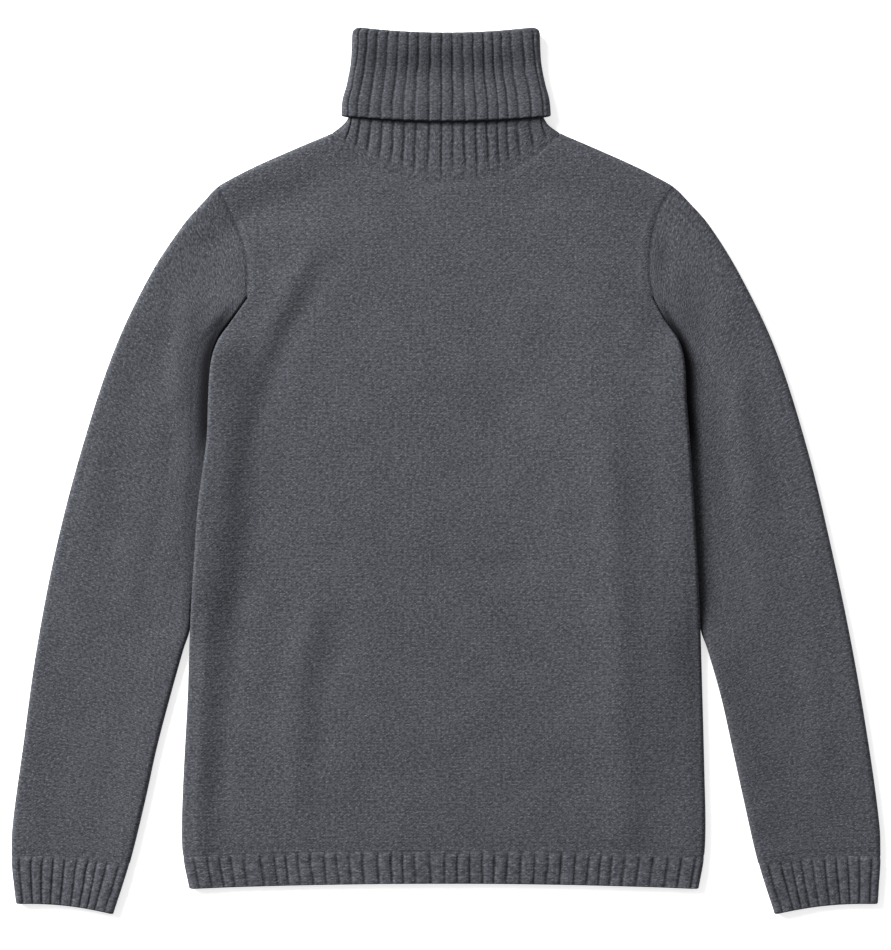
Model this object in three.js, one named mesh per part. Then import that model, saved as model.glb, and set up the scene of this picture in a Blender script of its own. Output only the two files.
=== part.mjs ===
// A turtleneck sweater in felted wool, laid flat on its back with its collar turned down.
//
// It is made as a knitter makes it: a front and a back joined at the sides and shoulders, two sleeves set
// into the armholes, ribbed bands at the hem and cuffs, and one ribbed tube for the collar, folded outwards
// on itself. Every piece is a wall of knit. The two layers of the body and of each sleeve meet in rounded
// folds, the front sinks between its folds, and the body's sides ride up over the inner edges of the sleeves
// tucked under them.
//
// Millimetres. +Z is up from the table, +Y towards the collar, +X towards the wearer's left.
import * as THREE from "three";

// Driving sizes of the cloth
const WALL = 2.6; // thickness of the felted knit
const SEAM_GAP = 0.4; // clearance between neighbouring pieces
const FOLD_RADIUS = 4.4; // outside radius of a side fold, so half the height of two layers
const TUCKED_RADIUS = 2.9; // the same where a sleeve is pressed under the body
const SAG = 2.4; // how far the front sinks between its folds
const SAG_SPAN = 34; // distance over which it sinks
const LEAST_HOLLOW = 1; // room left between the two layers where the front sinks
const LEAST_ROOM = 0.3; // and at the bottom of a trough

// Heights of the main lines up the garment
const NECK_Y = 293.6; // where the collar meets the shoulder fold
const SHOULDER_Y = 247.5; // top of the armhole
const UNDERARM_Y = 149.2; // fork between body and sleeve
const HEM_Y = -334; // top of the hem band at the side folds
const HEM_END_Y = -363.4;
const HEM_BOW = 4.4; // the hem's rise at the centre
const CUFF_BOW = 2.9; // the same across a cuff
const CUFF_OUTER = { seam: -334.5, end: -376.5 }; // height of the cuff at the sleeve's outer fold
const CUFF_INNER = { seam: -341, end: -385.6 };

// Outlines, as distances from the centre line at heights up the garment, for the wearer's left and right side
const OUTER_FOLD = [
  { y: 304, left: 84.8, right: 84.8 },
  { y: 300.5, left: 87.2, right: 87.2 },
  { y: 297.1, left: 92.4, right: 92.4 },
  { y: NECK_Y, left: 99.6, right: 99.6 },
  { y: 281.5, left: 127.9, right: 128.3 },
  { y: 265.8, left: 163.2, right: 164 },
  { y: 255.3, left: 184, right: 184.9 },
  { y: SHOULDER_Y, left: 197.6, right: 198.2 },
  { y: 236.2, left: 209.2, right: 209.2 },
  { y: 214.5, left: 228.4, right: 228.4 },
  { y: 171, left: 255.5, right: 257.1 },
  { y: 105.7, left: 286.7, right: 288.4 },
  { y: 18.7, left: 314.5, right: 317.1 },
  { y: -68.3, left: 335.6, right: 339.6 },
  { y: -155.3, left: 353.7, right: 356.3 },
  { y: -242.3, left: 368.4, right: 368.4 },
  { y: -307.5, left: 377.1, right: 377.1 },
  { y: -334.5, left: 378, right: 378 },
  { y: -351, left: 377.4, right: 377.1 },
  { y: -376.5, left: 375.6, right: 374 },
];
const ARMHOLE = [
  { y: SHOULDER_Y, left: 197.6, right: 198.2 },
  { y: 226.6, left: 185.6, right: 188.6 },
  { y: 207.1, left: 179.8, right: 179.8 },
  { y: 186, left: 177.1, right: 174.3 },
  { y: 166, left: 177.4, right: 172.9 },
  { y: UNDERARM_Y, left: 181, right: 173.6 },
];
const BODY_SIDE = [
  { y: UNDERARM_Y, left: 181, right: 173.6 },
  { y: 130.1, left: 191.4, right: 187 },
  { y: 113.5, left: 202.4, right: 198.3 },
  { y: 94, left: 207.3, right: 204.3 },
  { y: 62.2, left: 209, right: 206.6 },
  { y: 27.4, left: 211.8, right: 208 },
  { y: -28.2, left: 215.5, right: 215.3 },
  { y: -77, left: 218.2, right: 218.8 },
  { y: -137.9, left: 221.3, right: 222.6 },
  { y: -198.8, left: 223.2, right: 224.9 },
  { y: -264, left: 224.9, right: 228.4 },
  { y: -307.5, left: 225.8, right: 229.9 },
  { y: HEM_Y, left: 224.7, right: 229 },
  { y: HEM_END_Y, left: 219.6, right: 223.4 },
];
// The sleeve's inner fold lies beside the body at the fork, tucked under it further down, then clear of it
const INNER_FOLD = [
  { y: UNDERARM_Y, left: 181.4, right: 174 },
  { y: 130.1, left: 192.8, right: 188.4 },
  { y: 113.5, left: 203.4, right: 199.3 },
  { y: 94, left: 207.6, right: 204.7 },
  { y: 62.2, left: 202.8, right: 200.2 },
  { y: 27.4, left: 200.2, right: 198.2 },
  { y: -7.4, left: 201.5, right: 200.1 },
  { y: -42.2, left: 205.6, right: 204.8 },
  { y: -77, left: 212.2, right: 212.2 },
  { y: -111.8, left: 221.1, right: 222 },
  { y: -137.9, left: 222.6, right: 223.8 },
  { y: -155.3, left: 227.5, right: 228.4 },
  { y: -198.8, left: 239.7, right: 240.6 },
  { y: -242.3, left: 249.3, right: 251.9 },
  { y: -285.8, left: 258.8, right: 261.4 },
  { y: -341, left: 271.5, right: 275 },
  { y: -385.6, left: 285.6, right: 289.2 },
];
const NECKLINE = { half: 99.6, power: 2.35, front: 251.2, back: 281 }; // height at the centre front and back
const NECKLINE_LENGTH = 2.6 * NECKLINE.half; // along the front, from one shoulder to the other

// The body's sides are lifted by the tucked sleeves: between these heights, over a ramp inside their edges
const LIFT = {
  height: 2 * (TUCKED_RADIUS + SEAM_GAP),
  top: { none: 130, full: 96 },
  bottom: { full: -90, none: -136 },
  margin: 1.5, // how far inside the tucked edge the lift is still full
  ramp: 32,
};
// The tucked edges are pressed flat between these heights: fully near the edge, and no further in than none
const PRESSED = {
  top: { none: UNDERARM_Y, full: 104 },
  bottom: { full: -105, none: -155 },
  full: 15,
  none: 60,
};

// Soft ridges and troughs of the front, each on a curve from one point by way of another to a third
const CREASES = [
  { what: "right shoulder", from: [-160, 150], via: [-138, 184], to: [-112, 210], width: 15, height: 2 },
  { what: "right underarm", from: [-158, 118], via: [-142, 138], to: [-122, 164], width: 12, height: -0.9 },
  { what: "left chest", from: [96, 196], via: [128, 172], to: [148, 132], width: 18, height: 1.2 },
  { what: "right side", from: [-98, -95], via: [-152, -205], to: [-136, -310], width: 17, height: 2 },
  { what: "beside it", from: [-92, -150], via: [-112, -220], to: [-112, -310], width: 14, height: -0.8 },
  { what: "left side", from: [148, 16], via: [165, -150], to: [168, -335], width: 15, height: 1.8 },
  { what: "belly", from: [-62, -205], via: [-8, -222], to: [50, -208], width: 20, height: 0.7 },
  { what: "right sleeve", from: [-228, 180], via: [-234, 116], to: [-244, 50], width: 13, height: 1.5 },
  { what: "left sleeve", from: [238, 150], via: [258, 56], to: [274, -40], width: 16, height: 1.2 },
];
const CREASE_END = 2.5; // a crease fades over so many of its widths
const CREASE_LEAST = 0.28; // to this share of its height at its very ends

// Ribs: raised columns of knit between narrow grooves. Each band has so many across its front, and corner is
// the share of them that lies round one of its folded edges
const RIB = { rise: 0.5, depth: 1.3, steps: 3, fade: 6, edge: 0.8, atEdge: 0.6 };
const HEM = { ribs: 40, corner: 0.015 };
const CUFF = { ribs: 11, corner: 0.065 };
const NECK = { ribs: 19, corner: 0.06 };

// The collar: a tube that rises from the neckline and folds outwards on itself at its top
const NECK_GAP = 0.6; // half the room left inside the flattened neck
const COLLAR_TOP_Y = 380.9; // height of the top fold at the centre
const COLLAR_BOW = 4.5; // how much higher the collar's edges are at its sides
const STAND_FLARE = 1.6; // how late the stand's ribs spread towards the neckline
// Half widths of the turned part and of the stand inside it, and the slack between the two
const COLLAR = [
  { y: 368, turned: 81.8, stand: 78.2, slack: 1 },
  { y: 350, turned: 82.9, stand: 79.4, slack: 0.4 },
  { y: 332, turned: 86.3, stand: 81.8, slack: 0.6 },
  { y: 318, turned: 90, stand: 84, slack: 1.3 },
  { y: 303.8, turned: 91.2, stand: 84.8, slack: 1.6 },
];
// Rings round the top fold: 0 degrees on the turned side, 180 inside the neck
const TOP_FOLD = { hollow: [180, 90, 0], ribbed: [0, 35, 65, 95], plain: [130, 180] };
// Rings of the stand, from its seam at 1 up to the turned part's edge at 0
const STAND = { outside: [1, 0.86, 0.55, 0.25, 0], inside: [0.4, 0.75, 1] };

// Numbers along a line
const lerp = THREE.MathUtils.lerp;
const smoothstep = THREE.MathUtils.smoothstep;
const smooth = (t) => smoothstep(t, 0, 1);
const radians = THREE.MathUtils.degToRad;
const spread = (count) => Array.from({ length: count + 1 }, (_, i) => i / count);

// Value of a table's column at a height, on a smooth curve through its rows, which go down the garment
function at(table, column, y) {
  const last = table.length - 2;
  let i = table.findIndex((row, n) => n > 0 && y >= row.y) - 1;
  if (i < 0) i = y > table[0].y ? 0 : last;
  const slope = (a, b) => (table[b][column] - table[a][column]) / (table[b].y - table[a].y);
  const tangent = (n) => slope(Math.max(n - 1, 0), Math.min(n + 1, last + 1));
  const span = table[i + 1].y - table[i].y;
  const t = THREE.MathUtils.clamp((y - table[i].y) / span, 0, 1);
  const bend = t * t * (3 - 2 * t);
  return (
    lerp(table[i][column], table[i + 1][column], bend) +
    span * t * (1 - t) * ((1 - t) * tangent(i) - t * tangent(i + 1))
  );
}

const SIDES = { left: 1, right: -1 };
const edgePoint = (table, side, y) => new THREE.Vector2(SIDES[side] * at(table, side, y), y);

// Plan of the pieces. A patch is a smooth sheet between four edges, each a function of one number from 0 to 1
function patch(bottom, top, start, end) {
  return (u, v) => {
    const point = bottom(u).clone().multiplyScalar(1 - v);
    point.addScaledVector(top(u), v);
    point.addScaledVector(start(v), 1 - u);
    point.addScaledVector(end(v), u);
    point.addScaledVector(bottom(0), -(1 - u) * (1 - v));
    point.addScaledVector(bottom(1), -u * (1 - v));
    point.addScaledVector(top(0), -(1 - u) * v);
    return point.addScaledVector(top(1), -u * v);
  };
}

const NECK_SHARE = 0.25; // share of the body's width that each shoulder takes

const hemBow = (u) => HEM_BOW * (1 - (2 * u - 1) ** 2);
const neckline = (x, lowest) => lerp(lowest, NECK_Y, (Math.abs(x) / NECKLINE.half) ** NECKLINE.power);

function bodySide(side) {
  return (v) => {
    const y = lerp(HEM_Y, SHOULDER_Y, v);
    return edgePoint(y > UNDERARM_Y ? ARMHOLE : BODY_SIDE, side, y);
  };
}

function hemSeam(u) {
  const x = lerp(-at(BODY_SIDE, "right", HEM_Y), at(BODY_SIDE, "left", HEM_Y), u);
  return new THREE.Vector2(x, HEM_Y + hemBow(u));
}

function shouldersAndNeckline(lowest) {
  const shoulder = (side, share) => edgePoint(OUTER_FOLD, side, lerp(SHOULDER_Y, NECK_Y, share));
  return (u) => {
    if (u < NECK_SHARE) return shoulder("right", u / NECK_SHARE);
    if (u > 1 - NECK_SHARE) return shoulder("left", (1 - u) / NECK_SHARE);
    const x = ((u - 0.5) / (0.5 - NECK_SHARE)) * NECKLINE.half;
    return new THREE.Vector2(x, neckline(x, lowest));
  };
}

function sleevePatch(side) {
  const cuffSeam = (u) => {
    const outer = edgePoint(OUTER_FOLD, side, CUFF_OUTER.seam);
    const point = outer.lerp(edgePoint(INNER_FOLD, side, CUFF_INNER.seam), u);
    return point.setY(point.y + 4 * CUFF_BOW * u * (1 - u));
  };
  const armhole = (u) => {
    const point = edgePoint(ARMHOLE, side, lerp(SHOULDER_Y, UNDERARM_Y, u));
    return point.setX(point.x + SIDES[side] * SEAM_GAP);
  };
  const outer = (v) => {
    const point = edgePoint(OUTER_FOLD, side, lerp(SHOULDER_Y, CUFF_OUTER.seam, v));
    return v > 0 ? point : armhole(0);
  };
  const inner = (v) => edgePoint(INNER_FOLD, side, lerp(UNDERARM_Y, CUFF_INNER.seam, v));
  return patch(armhole, cuffSeam, outer, (v) => (v > 0 ? inner(v) : armhole(1)));
}

// Distance in plan from a point to a fold of the garment
const LINE_STEPS = 200;
function foldLine(table, side) {
  return spread(LINE_STEPS).map((t) => edgePoint(table, side, lerp(table[0].y, table.at(-1).y, t)));
}
const LINES = {};
for (const side of Object.keys(SIDES)) {
  const [outer, body, inner] = [OUTER_FOLD, BODY_SIDE, INNER_FOLD].map((table) => foldLine(table, side));
  LINES[side] = { outer, body, inner };
}

function distanceTo(line, point) {
  let best = Infinity;
  for (let i = 1; i < line.length; i++) {
    const along = line[i].clone().sub(line[i - 1]);
    const toPoint = point.clone().sub(line[i - 1]);
    const share = THREE.MathUtils.clamp(toPoint.dot(along) / along.lengthSq(), 0, 1);
    best = Math.min(best, toPoint.addScaledVector(along, -share).length());
  }
  return best;
}

const sideOf = (point) => (point.x > 0 ? "left" : "right");
const bodyDistance = (point) => {
  const lines = LINES[sideOf(point)];
  return Math.min(distanceTo(lines.outer, point), distanceTo(lines.body, point));
};
const sleeveDistance = (point) => {
  const lines = LINES[sideOf(point)];
  return Math.min(distanceTo(lines.outer, point), distanceTo(lines.inner, point));
};

// Heights of the cloth over the plan
const CREASE_LINES = CREASES.map((crease) => {
  const [from, via, to] = [crease.from, crease.via, crease.to].map((p) => new THREE.Vector2(...p));
  const control = via.clone().multiplyScalar(2).addScaledVector(from, -0.5).addScaledVector(to, -0.5);
  const curve = new THREE.QuadraticBezierCurve(from, control, to);
  return { ...crease, line: curve.getPoints(20), ends: [from, to] };
});

function creaseHeight(point) {
  let height = 0;
  for (const { line, ends, width, height: top } of CREASE_LINES) {
    const away = distanceTo(line, point) / width;
    const toEnd = Math.min(...ends.map((end) => end.distanceTo(point))) / (CREASE_END * width);
    height += top * Math.exp(-away * away) * lerp(CREASE_LEAST, 1, smooth(toEnd));
  }
  return height;
}

// How much the front lies below or above the height that its folds have
function frontDrop(point, distance, radius) {
  const inward = smooth((distance - radius) / SAG_SPAN);
  const room = 2 * (radius - WALL);
  const sag = Math.min(SAG, Math.max(room - LEAST_HOLLOW, 0));
  return Math.max(inward * (creaseHeight(point) - sag), LEAST_ROOM - room);
}

// Share of an effect at a height: 1 between its full heights, 0 beyond its others
const withinHeights = ({ top, bottom }, y) =>
  smoothstep(y, bottom.none, bottom.full) * (1 - smoothstep(y, top.full, top.none));

function bodyLift(point) {
  const edge = at(INNER_FOLD, sideOf(point), point.y) - LIFT.margin;
  const outwards = smoothstep(Math.abs(point.x), edge - LIFT.ramp, edge);
  return LIFT.height * withinHeights(LIFT, point.y) * outwards;
}

function pressed(point) {
  const fromEdge = distanceTo(LINES[sideOf(point)].inner, point);
  return withinHeights(PRESSED, point.y) * (1 - smoothstep(fromEdge, PRESSED.full, PRESSED.none));
}

function bodyForm(point) {
  const drop = frontDrop(point, bodyDistance(point), FOLD_RADIUS);
  return { radius: FOLD_RADIUS, lift: bodyLift(point), drop };
}

function sleeveForm(point) {
  const radius = lerp(FOLD_RADIUS, TUCKED_RADIUS, pressed(point));
  return { radius, lift: 0, drop: frontDrop(point, sleeveDistance(point), radius) };
}

// A point of a layer: on its outer face, or on its inner face one wall inside. The angle is that round a
// fold, from 0 at its outermost line to 90 on the flat, and seam is the gap left where two layers meet
function layerPoint(plan, form, { front, inner, degrees, seam = 0 }) {
  const { radius, lift, drop } = form(plan);
  const rise = (inner ? radius - WALL : radius) * Math.sin(radians(degrees));
  const half = Math.max(rise, seam / 2);
  return new THREE.Vector3(plan.x, plan.y, lift + radius + (front ? half + drop : -half));
}

// Lines beside a rounded fold, with their distances from its outermost line on each face of the wall
const FOLD_LINES = [0, 30, 60, 90].map((degrees) => {
  const share = 1 - Math.cos(radians(degrees));
  return { degrees, outer: FOLD_RADIUS * share, inner: WALL + (FOLD_RADIUS - WALL) * share };
});
// Distance of such a line on a face, where the fold has opened into a cut edge by so many degrees
const lineDistance = (line, inner, opened) =>
  inner ? lerp(line.outer, line.inner, Math.cos(radians(opened))) : line.outer;

// Solids. Loops of points are joined into one closed surface, two loops at a time
class Surface {
  constructor() {
    this.points = [];
    this.triangles = [];
  }
  // A loop has points and their places along it, from 0 up to below the loop's length
  loop(points, places) {
    const first = this.points.length;
    this.points.push(...points);
    return { first, places, count: points.length };
  }
  // A strip between two loops, whose points may differ in number
  join(a, b, { closed = true } = {}) {
    const steps = (loop) => (closed ? loop.count : loop.count - 1);
    const place = (loop, i) => (i < loop.count ? loop.places[i] : loop.places[0] + 2);
    const index = (loop, i) => loop.first + (i % loop.count);
    let i = 0;
    let j = 0;
    while (i < steps(a) || j < steps(b)) {
      const middle = (loop, n) => place(loop, n) + place(loop, n + 1);
      const next = j >= steps(b) || (i < steps(a) && middle(a, i) <= middle(b, j));
      const third = next ? index(a, ++i) : index(b, ++j);
      const [p, q] = next ? [index(a, i - 1), index(b, j)] : [index(a, i), index(b, j - 1)];
      this.triangles.push([p, third, q]);
    }
  }
  volume() {
    return this.triangles.reduce((sum, [a, b, c]) => {
      const [p, q, r] = [a, b, c].map((n) => this.points[n]);
      return sum + p.dot(q.clone().cross(r)) / 6;
    }, 0);
  }
  geometry() {
    const turned = this.volume() < 0;
    const index = this.triangles.flatMap(([a, b, c]) => (turned ? [a, c, b] : [a, b, c]));
    const geometry = new THREE.BufferGeometry().setFromPoints(this.points).setIndex(index);
    geometry.computeVertexNormals();
    return geometry;
  }
}

// A tube: closed loops in order along the outside of the wall and back along its inside
function tube(rings) {
  const surface = new Surface();
  const loops = rings.map(({ points, places }) => surface.loop(points, places));
  loops.forEach((loop, i) => surface.join(loop, loops[(i + 1) % loops.length]));
  return surface.geometry();
}

// A panel: rows of outer points and inner points, closed at its first and last row. Where a row's two faces
// differ in number, their places along it are given
function panel(rows, places) {
  const surface = new Surface();
  const loops = rows.map(({ outer, inner }) => ({
    outer: surface.loop(outer, places?.outer ?? spread(outer.length - 1)),
    inner: surface.loop(inner, places?.inner ?? spread(inner.length - 1)),
  }));
  const first = (loop) => loop.first;
  const last = (loop) => loop.first + loop.count - 1;
  const quad = (a, b, c, d) => surface.triangles.push([a, b, c], [a, c, d]);
  loops.forEach((row, i) => {
    const above = loops[i + 1];
    if (!above) return;
    surface.join(row.outer, above.outer, { closed: false });
    surface.join(above.inner, row.inner, { closed: false });
    quad(first(row.outer), first(above.outer), first(above.inner), first(row.inner));
    quad(last(row.outer), last(row.inner), last(above.inner), last(above.outer));
  });
  surface.join(loops[0].inner, loops[0].outer, { closed: false });
  surface.join(loops.at(-1).outer, loops.at(-1).inner, { closed: false });
  return surface.geometry();
}

// Armholes: shares of the way down from the shoulder, the same for the body's rows and the sleeves' columns
const ARMHOLE_DEPTH = SHOULDER_Y - UNDERARM_Y;
const SLEEVE_COLUMNS = [0.13, 0.27, 0.42, 0.58, 0.73, 0.87];

// Front and back of the body. Columns are measured on the width above the hem, up to the neck, then across it
const COLUMN_WIDTH = 452;
const FRONT_COLUMNS = [12, 22, 33, 45, 58, 72, 86, 100];
const BACK_COLUMNS = [14, 28, 42, 76];
const NECK_COLUMNS = [0.08, 0.18, 0.29, 0.4]; // shares of the neckline's width, up to its middle
const BODY_ROWS = [0, 0.06, 0.12, 0.18, 0.24, 0.3, 0.35, 0.4, 0.46, 0.53, 0.6, 0.665, 0.705, 0.74, 0.77, 0.8];
const NECK_LINES = FOLD_LINES.map(({ outer, degrees }) => ({ share: outer / NECKLINE_LENGTH, degrees }));

function bodyColumns(middle) {
  const half = [
    ...FOLD_LINES.map((line) => ({ line, edge: line.degrees, neck: 0 })),
    ...middle.map((distance) => ({ u: distance / COLUMN_WIDTH, edge: 90, neck: 0 })),
    ...NECK_LINES.map(({ share, degrees }) => ({ u: NECK_SHARE + share / 2, edge: 90, neck: degrees })),
    ...NECK_COLUMNS.map((share) => ({ u: NECK_SHARE + share / 2, edge: 90, neck: 90 })),
  ];
  const mirrored = half.map((column) => ({ ...column, mirrored: true })).reverse();
  return [...half, { u: 0.5, edge: 90, neck: 90 }, ...mirrored];
}

function bodyRows() {
  const armholeShare = (share) => 1 - (share * ARMHOLE_DEPTH) / (SHOULDER_Y - HEM_Y);
  const fromUnderarm = (distance) => armholeShare(1 - distance / ARMHOLE_DEPTH);
  return [
    ...BODY_ROWS.map((v) => ({ v, side: 0, top: 90 })),
    ...FOLD_LINES.map((line) => ({ v: fromUnderarm(line.outer), side: line.degrees, top: 90 })),
    ...[...SLEEVE_COLUMNS].reverse().map((share) => ({ v: armholeShare(share), side: 90, top: 90 })),
    ...[...FOLD_LINES].reverse().map((line) => ({ line, side: 90, top: line.degrees })),
  ];
}

function bodyPanel({ front, columns, lowest }) {
  const plan = patch(hemSeam, shouldersAndNeckline(lowest), bodySide("right"), bodySide("left"));
  const width = (v) => bodySide("right")(v).distanceTo(bodySide("left")(v));
  const upSide = (distance) => 1 - distance / (SHOULDER_Y - HEM_Y);
  const face = (row, inner) =>
    bodyColumns(columns).map((column) => {
      const v = row.line ? upSide(lineDistance(row.line, inner, column.neck)) : row.v;
      const u = column.line ? lineDistance(column.line, inner, row.side) / width(v) : column.u;
      const degrees = Math.min(Math.max(column.edge, row.side), Math.max(row.top, column.neck));
      const point = plan(column.mirrored ? 1 - u : u, v);
      return layerPoint(point, bodyForm, { front, inner, degrees, seam: SEAM_GAP });
    });
  return panel(bodyRows().map((row) => ({ outer: face(row, false), inner: face(row, true) })));
}

// Sleeves: each one piece, a tube from the armhole to the cuff
const SLEEVE_ROWS = [0, 0.03, 0.07, 0.11, 0.16, 0.22, 0.28, 0.34, 0.4, 0.46, 0.52, 0.58, 0.66, 0.75, 0.86, 1];

function sleeve(side) {
  const plan = sleevePatch(side);
  const width = (v) => (v > 0 ? plan(0, v).distanceTo(plan(1, v)) : ARMHOLE_DEPTH);
  const columns = (v, inner) => {
    const middle = SLEEVE_COLUMNS.map((u) => ({ u, degrees: 90 }));
    const edge = FOLD_LINES.map((line) => {
      return { u: lineDistance(line, inner, 0) / width(v), degrees: line.degrees };
    });
    return [...edge, ...middle, ...edge.map(({ u, degrees }) => ({ u: 1 - u, degrees })).reverse()];
  };
  const ring = (v, inner) => {
    const point = (front, { u, degrees }) => layerPoint(plan(u, v), sleeveForm, { front, inner, degrees });
    const face = (front) => columns(v, inner).map((column) => point(front, column));
    const points = [...face(true), ...face(false).reverse().slice(1, -1)];
    return { points, places: points.map((_, i) => (2 * i) / points.length) };
  };
  const outer = SLEEVE_ROWS.map((v) => ring(v, false));
  const inner = SLEEVE_ROWS.map((v) => ring(v, true)).reverse();
  return tube([...outer, ...inner]);
}

// Section of a flattened tube: places from 0 to 1 lead over its front, from 1 to 2 back along its underside.
// corner is the share of a face's places that lie round each of its two rounded edges
function flatTube(place, width, radius, corner) {
  const across = place <= 1 ? place : 2 - place;
  const fromEdge = Math.min(across, 1 - across);
  const turn = radians(90 * Math.min(fromEdge / corner, 1));
  const flat = (Math.max(fromEdge - corner, 0) / (1 - 2 * corner)) * (width - 2 * radius);
  const away = radius * (1 - Math.cos(turn)) + flat;
  const nearStart = across <= 0.5;
  const up = Math.sin(turn) * (place <= 1 ? 1 : -1);
  const out = Math.cos(turn) * (nearStart ? -1 : 1);
  return { away: nearStart ? away : width - away, height: radius * up, out, up };
}

// Places over one face of a band: fine ones for its ribs, or a few where it is plain
const PLAIN_PLACES = 8;
const ribPlaces = ({ ribs }) => spread(ribs * RIB.steps);
const plainPlaces = ({ corner }) => {
  const round = [0, corner / 3, (2 * corner) / 3];
  const flat = spread(PLAIN_PLACES).map((t) => lerp(corner, 1 - corner, t));
  return [...round, ...flat, ...round.map((t) => 1 - t).reverse()];
};
// The same all round: ribs are raised over the front only, since the underside rests flat
const allRound = (band, ribbed) => {
  const front = ribbed ? ribPlaces(band) : plainPlaces(band);
  return [...front.slice(0, -1), ...plainPlaces(band).slice(0, -1).map((t) => 1 + t)];
};

// How far a rib stands out from the wall at a place
function ribRise(place, { ribs }, strength) {
  if (place >= 1) return 0;
  const position = place * ribs;
  const inGroove = Math.abs(position - Math.round(position)) < 0.5 / RIB.steps;
  return strength * (inGroove ? RIB.rise - RIB.depth : RIB.rise);
}

// A point of the hem's or a cuff's wall, on a line across the band from one fold to the other
function bandPoint(place, band, options) {
  const { start, end, bow, form, strength = 0, inset = 0, trim = 0, seam = 0, front = place <= 1 } = options;
  const width = start.distanceTo(end);
  const section = flatTube(place, width, FOLD_RADIUS, band.corner);
  const outwards = ribRise(place, band, strength) - inset - trim;
  const share = (section.away + section.out * outwards) / width;
  const plan = start.clone().lerp(end, share);
  plan.y += bow(THREE.MathUtils.clamp(share, 0, 1));
  const half = Math.max(Math.abs(section.height + section.up * outwards), seam / 2);
  return new THREE.Vector3(plan.x, plan.y, FOLD_RADIUS + (front ? half + form(plan).drop : -half));
}

// Rows down a ribbed band: its ribs grow from the seam, and its end is a little rounded
const bandRows = (length) => [
  { share: 0, strength: 0 },
  { share: RIB.fade / length, strength: 1 },
  { share: 1 - RIB.edge / length, strength: 1 },
  { share: 1, strength: RIB.atEdge, trim: RIB.edge },
];

// Hem band: one half at the front and one at the back, joined at the side folds
function hemBand({ front }) {
  const across = (share) => {
    const y = lerp(HEM_Y - SEAM_GAP, HEM_END_Y, share);
    const [start, end] = ["right", "left"].map((side) => edgePoint(BODY_SIDE, side, y));
    return { start, end, bow: hemBow, form: bodyForm };
  };
  const places = { outer: front ? ribPlaces(HEM) : plainPlaces(HEM), inner: plainPlaces(HEM) };
  const face = (along, options) =>
    along.map((place) => bandPoint(front ? place : 2 - place, HEM, { ...options, seam: SEAM_GAP, front }));
  const rows = bandRows(HEM_Y - HEM_END_Y).map((row) => ({
    outer: face(places.outer, { ...across(row.share), ...row }),
    inner: face(places.inner, { ...across(row.share), inset: WALL }),
  }));
  return panel(rows, places);
}

// Cuffs: each a ribbed tube
function cuff(side) {
  const across = (share) => {
    const outerY = lerp(CUFF_OUTER.seam - SEAM_GAP, CUFF_OUTER.end, share);
    const innerY = lerp(CUFF_INNER.seam - SEAM_GAP, CUFF_INNER.end, share);
    const start = edgePoint(OUTER_FOLD, side, outerY);
    const end = edgePoint(INNER_FOLD, side, innerY);
    return { start, end, bow: (u) => 4 * CUFF_BOW * u * (1 - u), form: sleeveForm };
  };
  const ring = (ribbed, options) => {
    const places = allRound(CUFF, ribbed);
    return { places, points: places.map((place) => bandPoint(place, CUFF, options)) };
  };
  const rows = bandRows(CUFF_OUTER.seam - CUFF_OUTER.end);
  const outer = rows.map((row) => ring(true, { ...across(row.share), ...row }));
  const inner = [1, 0].map((share) => ring(false, { ...across(share), inset: WALL }));
  return tube([...outer, ...inner]);
}

// Collar: rings round the flattened neck, in order up the outside of the stand, down and up the turned part,
// over the top fold and down inside the neck
const collarMiddle = (y) => NECK_GAP + 2 * WALL + at(COLLAR, "slack", y);

function collarPoint(place, { y, half, radius, middle, strength = 0 }) {
  const { away, height, out, up } = flatTube(place, 2 * half, radius, NECK.corner);
  const outwards = ribRise(place, NECK, strength);
  const x = away - half + out * outwards;
  const bow = COLLAR_BOW * Math.min(Math.abs(x) / half, 1) ** 2;
  return new THREE.Vector3(x, y + bow, middle + height + up * outwards);
}

function collarRing(options, ribbed = false) {
  const places = allRound(NECK, ribbed);
  return { places, points: places.map((place) => collarPoint(place, options)) };
}

// The stand's lower edge, a seam's gap above the body's neckline
function necklinePoint(place, inner) {
  const front = place <= 1;
  const across = front ? place : 2 - place;
  const fromEdge = Math.min(across, 1 - across) * NECKLINE_LENGTH;
  const degrees = THREE.MathUtils.radToDeg(Math.acos(Math.max(1 - fromEdge / FOLD_RADIUS, 0)));
  const half = NECKLINE.half - (inner ? WALL : 0);
  const x = (2 * across - 1) * lerp(half, NECKLINE.half, Math.sin(radians(degrees)));
  const y = neckline(x, front ? NECKLINE.front : NECKLINE.back) + SEAM_GAP;
  return layerPoint(new THREE.Vector2(x, y), bodyForm, { front, inner, degrees });
}

// A ring of the stand between the turned part's edge, where share is 0, and the neckline, where it is 1
function standRing(share, { inner = false, strength = 0 } = {}) {
  const inset = inner ? WALL : 0;
  const { y, stand } = COLLAR.at(-1);
  const above = { y, half: stand - inset, radius: NECK_GAP + WALL - inset, middle: collarMiddle(y) };
  const halfSeam = [...NECK_LINES.map((line) => line.share), ...NECK_COLUMNS];
  const seam = [...halfSeam, 0.5, ...halfSeam.map((t) => 1 - t).reverse()].slice(0, -1);
  const places = share === 1 ? [...seam, ...seam.map((t) => 1 + t)] : allRound(NECK, !inner);
  const points = places.map((place) => {
    const high = collarPoint(place, above);
    const low = necklinePoint(place, inner);
    const point = high.clone().lerp(low, share);
    point.x = lerp(high.x, low.x, share ** STAND_FLARE);
    point.z = lerp(high.z, low.z, smooth(share)) + ribRise(place, NECK, strength);
    return point;
  });
  return { places, points };
}

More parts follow.
